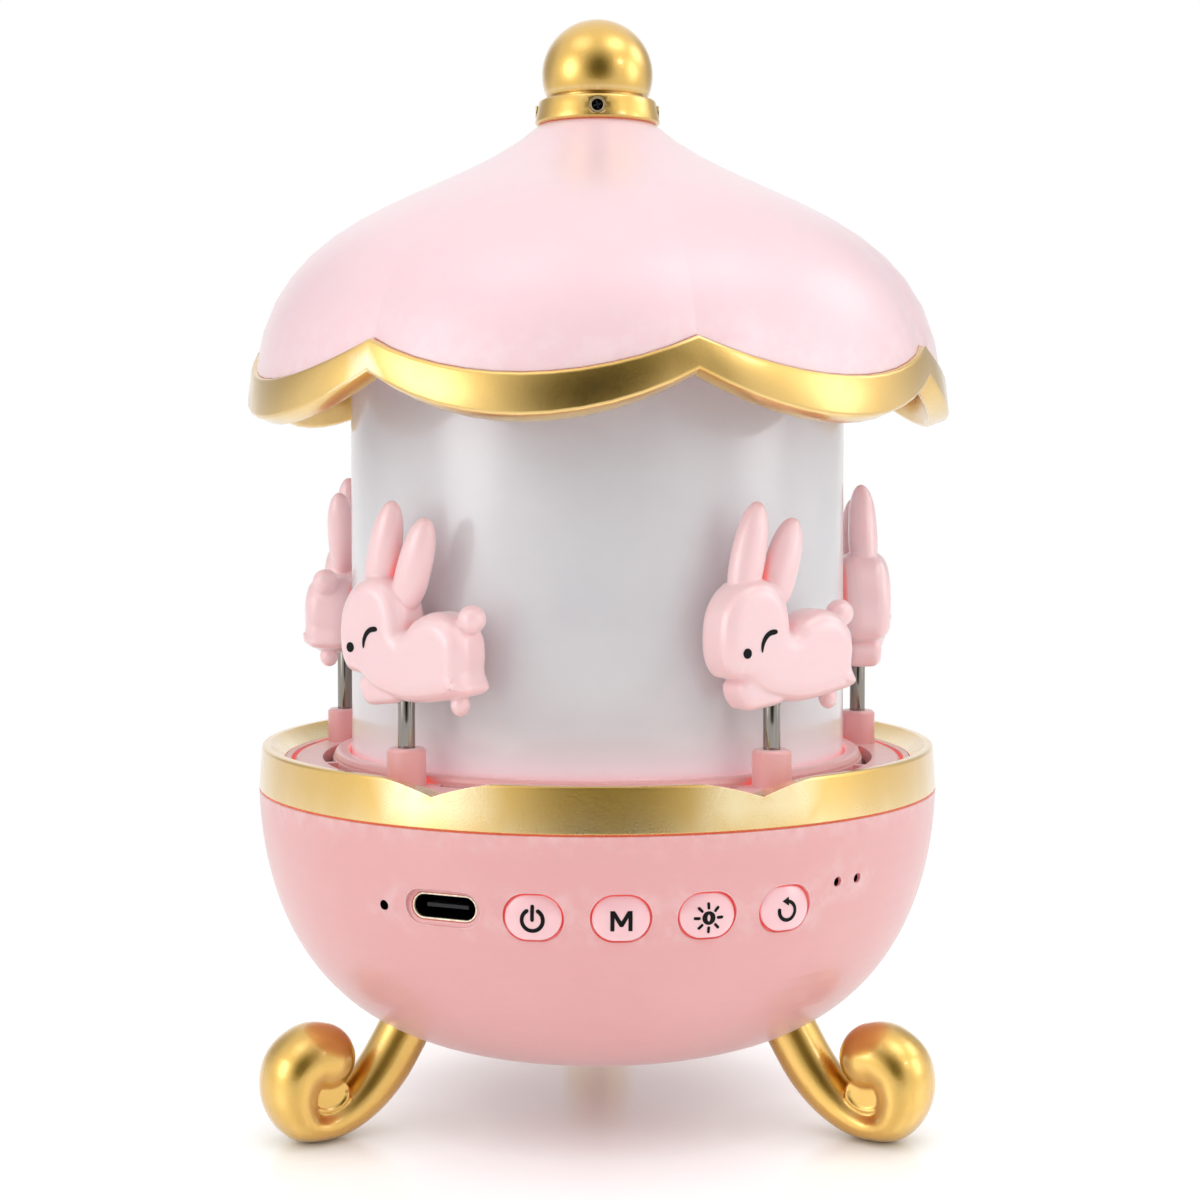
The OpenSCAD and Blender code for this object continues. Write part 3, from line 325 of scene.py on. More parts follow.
def milky_tube(name):
    """Milky acrylic: a polished white face with a faint cloudiness inside it. Its foot has a painted pink
    reflection of the ring round it and a painted glow, and the rest of it a fainter painted glow."""
    made = Finish(name)
    cloud = made.between(made.noise(16, 3, 0.5), 0.3, 0.7)
    tone = made.blend(cloud, paint(226, 225, 230), paint(219, 218, 224))
    dust = made.between(made.noise(0.6, 2, 0.5), 0.68, 0.8)
    height = made.node("ShaderNodeSeparateXYZ", {}, {"Vector": made.place()}, output="Z")
    # painted reflection: the tube turns pinker towards its foot, where the pink ring stands
    foot = made.between(height, (TUBE_GLOW_LOW + 1) * MM, TUBE_GLOW_HIGH * MM, 0.7, 0.0)
    tone = made.blend(foot, tone, paint(255, 240, 246))
    # painted glow, strongest at the foot and faint all the way up
    painted_glow_fade = made.between(height, TUBE_GLOW_LOW * MM, TUBE_GLOW_HIGH * MM)
    return made.surface(
        Base_Color=tone,
        Roughness=0.3 + dust * 0.1 + cloud * 0.04,
        Coat_Weight=0.85 - dust * 0.2,
        Coat_Roughness=0.06,
        Sheen_Weight=0.3,
        Sheen_Roughness=0.3,
        Emission_Color=made.blend(painted_glow_fade, (0.17, 0.16, 0.19, 1), (0.02, 0.02, 0.02, 1)),
        Emission_Strength=1.0,
        Subsurface_Weight=0.7,
        Subsurface_Radius=(1.0, 0.95, 1.0),
        Subsurface_Scale=7 * MM,
        Normal=made.dent(made.noise(9, 1, 0.5), 0.004),
    )


def printed_ink(name):
    """Black pad-printed ink with a slightly uneven film."""
    made = Finish(name)
    film = made.noise(0.3, 3, 0.6)
    return made.surface(
        Base_Color=made.blend(made.between(film, 0.4, 0.8), paint(6, 5, 6), paint(18, 17, 18)),
        Specular_IOR_Level=0.15,
        Roughness=0.5 + film * 0.15,
        Normal=made.dent(film, 0.003),
    )


def dull_part(name, colour, rough=0.5, metal=0.0, shine=0.5):
    """Plain finish of the parts inside: an even colour with light grain."""
    made = Finish(name)
    grain = made.noise(0.4, 3, 0.6)
    darker = [part * 0.82 for part in colour]
    tone = made.blend(made.between(grain, 0.35, 0.75), paint(*colour), paint(*darker))
    return made.surface(
        Base_Color=tone,
        Metallic=metal,
        Specular_IOR_Level=shine,
        Roughness=rough + grain * 0.12,
        Normal=made.dent(grain, 0.006),
    )


FINISHES = {
    "pink_plastic": moulded_plastic("pink_plastic", paint(236, 175, 174), paint(234, 169, 169)),
    "canopy_pink": moulded_plastic(
        "canopy_pink", paint(249, 213, 219), paint(248, 208, 215), rough=0.34, coat=0.6, coat_rough=0.28),
    "rabbit_pink": moulded_plastic(
        "rabbit_pink", paint(255, 216, 218), paint(254, 211, 213), rough=0.28, coat=0.6, coat_rough=0.12,
        soak=0.35),
    "button_pink": moulded_plastic(
        "button_pink", paint(255, 205, 209), paint(253, 200, 205), rough=0.2, coat=0.9, coat_rough=0.08),
    "gold": satin_gold("gold"),
    "milky": milky_tube("milky"),
    "polished_steel": drawn_steel("polished_steel"),
    "screw_steel": drawn_steel("screw_steel", (150, 140, 120), rough=0.3),
    "motor_metal": dull_part("motor_metal", (150, 150, 155), rough=0.35, metal=1.0),
    "gear_white": dull_part("gear_white", (232, 230, 222), rough=0.4),
    "lamp_board": dull_part("lamp_board", (235, 238, 235)),
    "lamp": dull_part("lamp", (250, 240, 190), rough=0.25),
    "circuit_board": dull_part("circuit_board", (30, 95, 60), rough=0.4),
    "switch_black": dull_part("switch_black", (28, 27, 30), rough=0.45),
    "socket_steel": dull_part("socket_steel", (250, 238, 212), rough=0.3, metal=0.5),
    "cell_wrap": dull_part("cell_wrap", (170, 178, 190), rough=0.35, metal=0.6),
}
FOOT_GOLD = satin_gold("foot_gold", rough=0.28, flake_mm=0.003, seam=True)
INK = printed_ink("black_print")
# coral for the strips of painted shade down in the button gaps
GAP_SHADE = moulded_plastic("gap_shade", paint(236, 74, 68), paint(220, 60, 56), rough=0.5, coat=0.0)
# paler pink than the bowl for the lips round the openings: a painted highlight
LIP_HIGHLIGHT_PINK = moulded_plastic(
    "lip_pink", paint(250, 192, 192), paint(248, 184, 185), rough=0.15, coat=1.0, coat_rough=0.05)
# black without shine for the discs and sleeves put inside holes and recesses as painted shade
HOLE_SHADE_BLACK = dull_part("hole_shade_black", (5, 4, 5), rough=0.8, shine=0.0)
TONGUE_BLACK = dull_part("tongue_black", (34, 34, 38), rough=0.4, shine=0.3)
SCREW_RIM = dull_part("screw_rim", (226, 206, 160), rough=0.3, metal=0.8)


def dress_frame():
    """Gives every CAD node the finish of its material slot."""
    for piece in NODES.values():
        for slot in piece.material_slots:
            base = slot.material.name.split(".")[0]
            slot.material = FINISHES[base]


# ---------------------------------------------------------------- mesh tools


def select_only(*pieces):
    """Selects these pieces alone and makes the first one active."""
    bpy.ops.object.select_all(action="DESELECT")
    for piece in pieces:
        piece.select_set(True)
    bpy.context.view_layer.objects.active = pieces[0]


def apply_modifiers(piece):
    select_only(piece)
    for modifier in list(piece.modifiers):
        bpy.ops.object.modifier_apply(modifier=modifier.name)


def round_edges(piece, width_mm, segments, angle):
    """Rounds every edge of a piece that is sharper than the angle."""
    edge = piece.modifiers.new("edge", "BEVEL")
    edge.width = width_mm * MM
    edge.segments = segments
    edge.angle_limit = math.radians(angle)
    apply_modifiers(piece)


def set_place(piece, matrix):
    """Moves a piece's place into its mesh."""
    piece.matrix_world = Matrix.Identity(4)
    piece.data.transform(matrix)
    piece.data.update()


def finish_piece(piece, name, body, slot, finish=None):
    """Names a piece, gives it its finish, and hangs it on a body."""
    piece.name = name
    piece.data.name = name
    piece.data.materials.clear()
    piece.data.materials.append(finish or FINISHES[slot])
    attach(piece, body)


def copy_at(source, matrix):
    """A copy of a piece modelled in millimetres, put in its place on the object."""
    copy = bpy.data.objects.new("copy", source.data.copy())
    bpy.context.scene.collection.objects.link(copy)
    set_place(copy, matrix)
    return copy


def merged_copy(node_name, with_quads=True):
    """A CAD node's mesh as one joined surface, on an object of its own. Flat triangles can be paired up."""
    mesh = NODES[node_name].data.copy()
    piece = bpy.data.objects.new(node_name + "_copy", mesh)
    bpy.context.scene.collection.objects.link(piece)
    select_only(piece)
    bpy.ops.object.mode_set(mode="EDIT")
    bpy.ops.mesh.select_all(action="SELECT")
    bpy.ops.mesh.remove_doubles(threshold=0.003 * MM)
    if with_quads:
        bpy.ops.mesh.tris_convert_to_quads(
            face_threshold=math.radians(12), shape_threshold=math.radians(40))
    bpy.ops.object.mode_set(mode="OBJECT")
    if piece.data.has_custom_normals:
        bpy.ops.mesh.customdata_custom_splitnormals_clear()
    return piece


def smooth_shade(piece, angle=40):
    """Shades a piece smooth across every edge flatter than the angle."""
    select_only(piece)
    bpy.ops.object.shade_smooth_by_angle(angle=math.radians(angle))


def voxel_blend(piece, voxel_mm, smooth_steps):
    """Fuses the solids of a piece, modelled in millimetres, into one soft skin."""
    remesh = piece.modifiers.new("fuse", "REMESH")
    remesh.mode = "VOXEL"
    remesh.voxel_size = voxel_mm
    relax = piece.modifiers.new("relax", "SMOOTH")
    relax.iterations = smooth_steps
    relax.factor = 0.5
    apply_modifiers(piece)
    smooth_shade(piece, 180)


def join_pieces(pieces):
    """Makes one piece of several."""
    select_only(*pieces)
    bpy.ops.object.join()
    return bpy.context.view_layer.objects.active


def flat_shape(name, outlines, extrude=0.0, bevel=0.0):
    """A mesh cut from closed outlines in the X-Z plane, in millimetres. Later outlines inside are holes.
    It reaches extrude + bevel to each side of the plane."""
    curve = bpy.data.curves.new(name, "CURVE")
    curve.dimensions = "2D"
    curve.fill_mode = "BOTH"
    curve.extrude = extrude
    curve.bevel_depth = bevel
    curve.bevel_resolution = 4
    curve.offset = -bevel
    for outline in outlines:
        spline = curve.splines.new("POLY")
        spline.points.add(len(outline) - 1)
        for point, (x, z) in zip(spline.points, outline):
            point.co = (x, z, 0, 1)
        spline.use_cyclic_u = True
    piece = bpy.data.objects.new(name, curve)
    bpy.context.scene.collection.objects.link(piece)
    select_only(piece)
    bpy.ops.object.convert(target="MESH")
    piece = bpy.context.view_layer.objects.active
    piece.data.transform(Matrix.Rotation(math.radians(90), 4, "X"))
    return piece


def bend_through(before, start, end, after, steps):
    """Points on the smooth curve from start to end, without the end itself."""
    before, start, end, after = (Vector(point) for point in (before, start, end, after))
    return [
        0.5 * (2 * start + (end - before) * t + (2 * before - 5 * start + 4 * end - after) * t ** 2
               + (3 * start - before - 3 * end + after) * t ** 3)
        for t in (step / steps for step in range(steps))]


def smooth_loop(points, steps=8):
    """Closed rounded outline through the given points."""
    count = len(points)
    loop = []
    for i in range(count):
        loop += map(tuple, bend_through(*(points[(i + k) % count] for k in (-1, 0, 1, 2)), steps))
    return loop


def arc(radius, start, end, steps=24, centre=(0, 0)):
    """Points on an arc, angles in degrees from +X anticlockwise."""
    angles = [math.radians(start + (end - start) * i / steps) for i in range(steps + 1)]
    return [(centre[0] + radius * math.cos(a), centre[1] + radius * math.sin(a)) for a in angles]


def circle(radius, centre=(0, 0), points=24):
    """Closed outline of a disc."""
    return arc(radius, 0, 360 - 360 / points, points - 1, centre)


def stroke(path, width):
    """Outline of a line of even width along a path, with round ends."""
    half = width / 2
    left, right = [], []
    for i, point in enumerate(path):
        along = (Vector(path[min(i + 1, len(path) - 1)]) - Vector(path[max(i - 1, 0)])).normalized()
        side = Vector((-along.y, along.x)) * half
        left.append(tuple(Vector(point) + side))
        right.append(tuple(Vector(point) - side))
    ends = []
    for tip, inner in ((path[-1], path[-2]), (path[0], path[1])):
        angle = math.degrees(math.atan2(tip[1] - inner[1], tip[0] - inner[0]))
        ends.append(arc(half, angle + 90, angle - 90, 6, tip))
    return left[:-1] + ends[0] + right[-2:0:-1] + ends[1]


def stadium(width, height, steps=24):
    """Outline of a slot with round ends."""
    radius, straight = height / 2, (width - height) / 2
    return arc(radius, -90, 90, steps, (straight, 0)) + arc(radius, 90, 270, steps, (-straight, 0))


def refine(outline, spacing=0.25):
    """The same closed outline with points no further apart than the spacing."""
    finer = []
    for i, start in enumerate(outline):
        end = outline[(i + 1) % len(outline)]
        count = max(1, math.ceil(math.dist(start, end) / spacing))
        finer += [
            tuple(low + (high - low) * k / count for low, high in zip(start, end)) for k in range(count)]
    return finer


def split_faces(piece):
    """Cuts every face of a piece into smaller ones, so that it can follow a curved surface."""
    select_only(piece)
    bpy.ops.object.mode_set(mode="EDIT")
    bpy.ops.mesh.select_all(action="SELECT")
    bpy.ops.mesh.quads_convert_to_tris(quad_method="BEAUTY", ngon_method="BEAUTY")
    bpy.ops.mesh.subdivide(number_cuts=1)
    bpy.ops.object.mode_set(mode="OBJECT")


# ---------------------------------------------------------------- dome and gold trim


def press_valleys(shell):
    """Presses the valley line between two petals in a little and keeps it crisp. It fades out towards
    the neck."""
    valley = set()
    for vertex in shell.data.vertices:
        azimuth = math.degrees(math.atan2(vertex.co.x, -vertex.co.y))
        off_line = (azimuth - NOTCH_AZIMUTH + PETAL_ANGLE / 2) % PETAL_ANGLE - PETAL_ANGLE / 2
        share = (VALLEY_END_Z - vertex.co.z / MM) / (VALLEY_END_Z - VALLEY_FULL_Z)
        if abs(off_line) < VALLEY_REACH and share > 0:
            valley.add(vertex.index)
            vertex.co -= outward(azimuth) * VALLEY_DEPTH * MM * min(share, 1)
    for edge in shell.data.edges:
        if all(i in valley for i in edge.vertices):
            edge.use_edge_sharp = True


def make_dome():
    """The pink dome, the gold trim along its petals and the gold collar on its neck."""
    shell = merged_copy("canopy_shell", with_quads=False)
    smooth_shade(shell, 32)
    press_valleys(shell)
    finish_piece(shell, "petal_dome", "base", "canopy_pink")
    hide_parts("canopy_shell")

    for node, name, edge_width in (
            ("canopy_trim", "scalloped_trim", TRIM_EDGE), ("finial_collar", "gold_collar", COLLAR_EDGE)):
        ring = merged_copy(node)
        round_edges(ring, edge_width, segments=2, angle=28)
        smooth_shade(ring, 35)
        finish_piece(ring, name, "base", "gold")
        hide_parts(node)


def make_collar_screws():
    """Set screws in the collar: a light ring round a black disc of painted shade for the recess, with a
    raised dark cross.
    """
    for i in range(SET_SCREW_COUNT):
        place = at_azimuth(360 / SET_SCREW_COUNT * i, COLLAR_FACE_R, COLLAR_Z)
        rim = flat_shape("rim", [circle(SET_SCREW_R), circle(SET_SCREW_R - SET_SCREW_RIM)], 0.08, 0.04)
        # a black disc just behind the ring: painted shade in the recess
        recess_shade = flat_shape("recess_shade", [circle(SET_SCREW_R - 0.2)], 0.02)
        recess_shade.data.transform(Matrix.Translation((0, 0.06, 0)))
        bars = []
        for x, z in ((1, 0.25), (-0.25, 1)):
            tip = (SET_SCREW_CROSS * x, SET_SCREW_CROSS * z)
            bars.append(flat_shape("bar", [stroke([(-tip[0], -tip[1]), (0, 0), tip], 0.2)], 0.03))
        cross = join_pieces(bars)
        for piece, name, finish in (
                (rim, "rim", SCREW_RIM), (recess_shade, "recess_shade", HOLE_SHADE_BLACK), (cross, "cross", TONGUE_BLACK)):
            set_place(piece, place)
            finish_piece(piece, f"set_screw_{name}_{i + 1}", "base", "screw_steel", finish)


def make_rods():
    """The polished rods that carry the rabbits."""
    for i in range(RABBIT_COUNT):
        node = f"rod_{i + 1}"
        low, high = (Vector(corner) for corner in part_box(node))
        middle = (low + high) / 2
        radius = min(high.x - low.x, high.y - low.y) / 2 - 0.003 * MM
        bpy.ops.mesh.primitive_cylinder_add(
            vertices=64, radius=radius, depth=high.z - low.z, location=middle)
        rod = bpy.context.active_object
        bpy.ops.object.transform_apply(location=True, rotation=False, scale=False)
        round_edges(rod, ROD_EDGE, segments=2, angle=60)
        smooth_shade(rod)
        finish_piece(rod, f"rod_polished_{i + 1}", "carousel", "polished_steel")
        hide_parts(node)


def make_tube():
    """The light tube: an open cylinder with a wall and softened rims."""
    bpy.ops.mesh.primitive_cylinder_add(
        vertices=256, radius=TUBE_R * MM, depth=(TUBE_TOP - TUBE_BOTTOM) * MM,
        end_fill_type="NOTHING", location=(0, 0, (TUBE_TOP + TUBE_BOTTOM) / 2 * MM))
    tube = bpy.context.active_object
    bpy.ops.object.transform_apply(location=True, rotation=False, scale=False)
    wall = tube.modifiers.new("wall", "SOLIDIFY")
    wall.thickness = TUBE_WALL * MM
    round_edges(tube, TUBE_EDGE, segments=3, angle=60)
    smooth_shade(tube)
    finish_piece(tube, "light_tube", "base", "milky")
    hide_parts("diffuser")


# ---------------------------------------------------------------- rabbits

HEAD_AND_BODY = [  # outline of the flat side
    (-5.9, 3.3), (-8.0, 3.8), (-9.2, 5.8), (-9.5, 9.0), (-8.9, 12.2), (-6.9, 14.9), (-4.0, 16.0),
    (-1.2, 15.2), (0.5, 13.2), (1.2, 10.9), (1.5, 9.2), (3.2, 10.7), (6.2, 11.8), (9.2, 11.1),
    (11.1, 9.0), (11.5, 6.5), (11.4, 4.4), (12.2, 2.6), (11.5, 1.7), (9.3, 1.2), (6.0, 0.55),
    (2.5, 0.25), (-0.8, 0.7), (-3.6, 1.6)]
RABBIT_T = 6.8
RABBIT_EDGE = 2.3
EAR_BLUNTNESS = 2.7
EAR_POLE = 1.14
EAR_TAPER = 0.09
EAR_T = 4.0
PAW = [(-6.4, 1.5), (-6.1, 3.2), (-3, 4.6), (1, 3.5), (0.6, 0.5), (-3.2, -0.35), (-5.2, -0.3)]
TAIL_AT = (11.0, 0, 11.0)
HIND_PAW_AT = (9.1, 0, 0.3)
NOSE_AT = (-6.5, 6.9)
NOSE_R = 0.64
MARK_START = 8
MARK_LIFT = 0.03
MARK_FILM = 0.05
WINK_SPINE = [(-4.2, 7.0), (-4.1, 7.9), (-3.7, 8.7), (-3.0, 9.25), (-2.1, 9.4)]
WINK_HALF_WIDTHS = [0.1, 0.25, 0.31, 0.33, 0.3]
WINK_TOP = (-1.8, 9.38)


def spindle(root, tip, radius, thickness):
    """An ear: a ball drawn out between root and tip, slimmer towards the tip, with blunt round ends."""
    length = (Vector(tip) - Vector(root)).length
    bpy.ops.mesh.primitive_uv_sphere_add(segments=48, ring_count=32, radius=1)
    ear = bpy.context.active_object
    for vertex in ear.data.vertices:
        height = vertex.co.z
        blunt = EAR_POLE
        if abs(height) <= 0.999:
            blunt = math.sqrt((1 - abs(height) ** EAR_BLUNTNESS) / (1 - height ** 2))
        fullness = blunt * (1.03 - EAR_TAPER * height)
        vertex.co.x *= radius * fullness
        vertex.co.y *= thickness / 2 * fullness
        vertex.co.z = length * (height + 1) / 2
    lean = math.atan2(tip[0] - root[0], tip[1] - root[1])
    ear.data.transform(Matrix.Translation((root[0], 0, root[1])) @ Matrix.Rotation(lean, 4, "Y"))
    return ear


def ball(place, radii):
    """A ball, or an egg with its radii along X, Y and Z."""
    bpy.ops.mesh.primitive_uv_sphere_add(segments=48, ring_count=32, radius=1)
    made = bpy.context.active_object
    made.data.transform(Matrix.Translation(place) @ Matrix.Diagonal((*radii, 1)))
    return made


def rabbit_body():
    """One rabbit in millimetres: the rod's axis through the origin, its belly at height 0, its nose
    to -X."""
    body = join_pieces([
        flat_shape("slab", [smooth_loop(HEAD_AND_BODY)], RABBIT_T / 2 - RABBIT_EDGE, RABBIT_EDGE),
        flat_shape("paw", [smooth_loop(PAW)], 1.2, 1.3),
        spindle((-5.2, 12.6), (-2.2, 25.5), 2.2, EAR_T),
        spindle((-0.5, 11.4), (3.5, 23.4), 2.25, EAR_T),
        ball(TAIL_AT, (1.8, 1.8, 1.8)),
        ball(HIND_PAW_AT, (1.15, 1.3, 1.45)),
    ])
    voxel_blend(body, voxel_mm=0.16, smooth_steps=4)
    return body


def face_mark(name, outline, target):
    """A printed mark that lies on a rabbit's flat side, which faces -Y."""
    mark = flat_shape(name, [outline])
    split_faces(mark)
    mark.data.transform(Matrix.Translation((0, -MARK_START, 0)))
    wrap = mark.modifiers.new("lay_on", "SHRINKWRAP")
    wrap.wrap_method = "PROJECT"
    wrap.use_project_y = True
    wrap.use_negative_direction = True
    wrap.use_positive_direction = True
    wrap.target = target
    wrap.offset = MARK_LIFT
    thick = mark.modifiers.new("film", "SOLIDIFY")
    thick.thickness = MARK_FILM
    thick.offset = 0
    apply_modifiers(mark)
    return mark


def wink():
    """A thick curved stroke that widens from its foot on the left to its round top."""
    last = len(WINK_SPINE) - 1
    left, right = [], []
    for i, ((x, z), half) in enumerate(zip(WINK_SPINE, WINK_HALF_WIDTHS)):
        along = (Vector(WINK_SPINE[min(i + 1, last)]) - Vector(WINK_SPINE[max(i - 1, 0)])).normalized()
        left.append((x - along.y * half, z + along.x * half))
        right.append((x + along.y * half, z - along.x * half))
    return smooth_loop(left + [WINK_TOP] + right[::-1], 4)


def make_rabbits():
    """Five rabbits from one moulding, each at its own height and turn on its rod."""
    body = rabbit_body()
    marks = [
        face_mark("nose", circle(NOSE_R, NOSE_AT), body),
        face_mark("wink", wink(), body),
    ]
    for i in range(RABBIT_COUNT):
        azimuth = RABBIT_AZIMUTH - 360 * i / RABBIT_COUNT
        matrix = at_azimuth(azimuth, ROD_CIRCLE_R, BELLY_Z + RABBIT_LIFT[i], RABBIT_TWIST[i])
        skin = copy_at(body, matrix)
        smooth_shade(skin, 180)
        finish_piece(skin, f"rabbit_body_{i + 1}", "carousel", "rabbit_pink")
        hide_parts(f"rabbit_{i + 1}")
        for mark in marks:
            printed = copy_at(mark, matrix)
            finish_piece(printed, f"rabbit_{mark.name}_{i + 1}", "carousel", "rabbit_pink", INK)
    for source in [body] + marks:
        bpy.data.objects.remove(source)


# ---------------------------------------------------------------- feet

FOOT_PATH = [  # radius from the object's axis, height, half thickness in the foot's plane, half width
    (28.7, 15.2, 3.5, 3.5), (30.6, 11.9, 3.5, 3.5), (33.0, 8.3, 3.45, 3.5), (36.0, 5.15, 3.15, 3.6),
    (39.4, 3.0, 2.7, 3.8), (42.6, 2.3, 2.3, 4.1), (45.2, 3.3, 2.75, 4.6), (46.5, 6.4, 3.4, 5.0),
    (45.8, 9.6, 4.0, 5.2), (43.6, 11.1, 4.3, 5.2), (41.9, 10.9, 4.35, 5.1)]
FOOT_STEPS = 6
WEB = [(39.2, 7.4), (39.3, 4.6), (40.8, 3.4), (43.2, 3.4), (44.8, 4.8), (44.8, 7.2), (42, 9.0)]
WEB_FACE = 3.0
EYE_LIP = [(39.5, 6.6), (39.9, 5.3), (41.1, 4.6), (42.6, 4.5), (43.8, 5.1), (44.3, 6.1), (42, 7.5)]
EYE_LIP_STEPS = 12


def foot_body():
    """One scroll foot in millimetres, in the half plane that points to -Y: a row of balls along its path,
    a web across its eye and a fine lip on both sides of the web, fused into one."""
    last = len(FOOT_PATH) - 1
    stations = []
    for i in range(last):
        around = (FOOT_PATH[min(max(i + k, 0), last)] for k in (-1, 0, 1, 2))
        stations += bend_through(*around, FOOT_STEPS)
    stations.append(FOOT_PATH[last])
    scroll = [ball((0, -radius, z), (half_w, half_t, half_t)) for radius, z, half_t, half_w in stations]
    web = flat_shape("web", [smooth_loop(WEB)], WEB_FACE - 0.3, 0.3)
    web.data.transform(Matrix.Rotation(math.radians(-90), 4, "Z"))
    open_lip = smooth_loop(EYE_LIP, EYE_LIP_STEPS)[:-3 * EYE_LIP_STEPS]
    lips = [
        ball((side * WEB_FACE, -radius, z), (0.3, 0.18, 0.18))
        for side in (-1, 1) for radius, z in open_lip]
    foot = join_pieces(scroll + [web] + lips)
    voxel_blend(foot, voxel_mm=0.2, smooth_steps=5)
    across = foot.data.attributes.new("across", "FLOAT", "POINT")
    for vertex, share in zip(foot.data.vertices, across.data):
        share.value = vertex.co.x
        vertex.co.z = max(vertex.co.z, 0)
    return foot


def make_feet():
    """Three scroll feet from one casting."""
    foot = foot_body()
    for name, azimuth in FOOT_AZIMUTHS.items():
        copy = copy_at(foot, at_azimuth(azimuth))
        smooth_shade(copy, 180)
        finish_piece(copy, f"scroll_foot_{name}", "base", "gold", FOOT_GOLD)
        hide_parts(f"foot_{name}")
    bpy.data.objects.remove(foot)


# ---------------------------------------------------------------- buttons and socket

RAY_COUNT = 8
SYMBOL_DROP = 0.25
INK_FILM = 0.04
SYMBOLS = {  # each shape is an outline, and the holes in it
    "power": [[stroke(arc(1.3, 122, 418, 48), 0.48)], [stroke([(0, 1.65), (0, 1.0), (0, 0.05)], 0.46)]],
    "mode": [[[
        (-1.34, -1.22), (-1.34, 1.22), (-0.78, 1.22), (0, -0.02), (0.78, 1.22), (1.34, 1.22),
        (1.34, -1.22), (0.84, -1.22), (0.84, 0.4), (0.2, -0.68), (-0.2, -0.68), (-0.84, 0.4),
        (-0.84, -1.22)]]],
    "light": [[circle(0.84), [(0.55 * x, 1.2 * z) for x, z in circle(0.36)]]] + [
        [stroke([(r * math.cos(turn), r * math.sin(turn)) for r in (1.2, 1.5, 1.72)], 0.36)]
        for turn in (math.tau * i / RAY_COUNT for i in range(RAY_COUNT))],
    "turn": [[stroke(arc(1.15, 172, 442, 40), 0.46)], [[(0.25, 1.7), (-0.68, 1.22), (0.2, 0.6)]]],
}


def cap_mark(name, cap_face_r):
    """A symbol printed on a button's domed face, in the button's own millimetres."""
    mark = join_pieces([
        flat_shape(name + "_symbol", [refine(outline) for outline in shape]) for shape in SYMBOLS[name]])
    split_faces(mark)
    for vertex in mark.data.vertices:
        x, z = vertex.co.x, vertex.co.z - SYMBOL_DROP
        dome = math.sqrt(CAP_DOME_R ** 2 - x ** 2 - z ** 2) - CAP_DOME_R
        vertex.co = (x, -cap_face_r - dome - INK_FILM / 2, z)
    film = mark.modifiers.new("film", "SOLIDIFY")
    film.thickness = INK_FILM
    film.offset = 0
    apply_modifiers(mark)
    return mark


def painted_gap_shade_strip(bowl_r):
    """A coral strip at the bottom of the gap round a button: painted shade."""
    outer = stadium(BUTTON_W + 2 * BUTTON_GAP, BUTTON_H + 2 * BUTTON_GAP)
    inner = stadium(BUTTON_W + 0.06, BUTTON_H + 0.06)
    strip = flat_shape("gap", [outer, inner], 0.15)
    for vertex in strip.data.vertices:
        vertex.co.y -= math.sqrt(bowl_r ** 2 - vertex.co.x ** 2) - GAP_DEPTH
    return strip


def make_buttons():
    """The four caps with their symbols, and a coral strip of painted shade in the gap round each."""
    for i, name in enumerate(BUTTON_NAMES):
        node = "button_" + name
        azimuth = BUTTON_AZIMUTH + i * BUTTON_PITCH
        place = at_azimuth(azimuth, 0, CONTROL_Z)
        face_r = reach(node, azimuth)
        cap = merged_copy(node)
        round_edges(cap, CAP_EDGE, segments=4, angle=50)
        smooth_shade(cap, 50)
        finish_piece(cap, "button_cap_" + name, node + "_cap", "button_pink")
        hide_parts(node)
        symbol = cap_mark(name, face_r)
        set_place(symbol, place)
        finish_piece(symbol, "button_symbol_" + name, node + "_cap", "button_pink", INK)
        strip = painted_gap_shade_strip(face_r - CAP_PROUD)
        set_place(strip, place)
        finish_piece(strip, "button_gap_" + name, "base", "pink_plastic", GAP_SHADE)


def pin_hole_floor(name, azimuth, height, depth_mm):
    """Black disc just inside a small round hole in the bowl's wall: painted shade, which also stands for
    the dark LED lens and mic cloth behind the holes.
    """
    bowl_r = reach("button_mode", BUTTON_AZIMUTH + BUTTON_PITCH) - CAP_PROUD
    floor = flat_shape(name, [circle(PIN_HOLE_R - 0.04)], 0.1, 0.03)
    set_place(floor, at_azimuth(azimuth, bowl_r - depth_mm, height))
    finish_piece(floor, name, "base", "switch_black", HOLE_SHADE_BLACK)


def opening_lip(name, azimuth, height, outline):
    """The soft raised edge round an opening in the bowl, laid on the bowl's own surface. It is a paler pink
    than the bowl, a painted highlight.
    """
    place = at_azimuth(azimuth, 0, height)
    points = []
    for x, z in outline:
        start, end = place @ Vector((x, -60, z)), place @ Vector((x, 0, z))
        inward = (end - start).normalized()
        points.append(BOWL_SKIN.ray_cast(start, inward)[0] + inward * LIP_WIRE_R / 2 * MM)
    curve = bpy.data.curves.new(name, "CURVE")
    curve.dimensions = "3D"
    curve.bevel_depth = LIP_WIRE_R * MM
    curve.bevel_resolution = 2
    spline = curve.splines.new("POLY")
    spline.points.add(len(points) - 1)
    for point, where in zip(spline.points, points):
        point.co = (*where, 1)
    spline.use_cyclic_u = True
    lip = bpy.data.objects.new(name, curve)
    bpy.context.scene.collection.objects.link(lip)
    select_only(lip)
    bpy.ops.object.convert(target="MESH")
    lip = bpy.context.view_layer.objects.active
    smooth_shade(lip, 180)
    finish_piece(lip, name, "base", "pink_plastic", LIP_HIGHLIGHT_PINK)


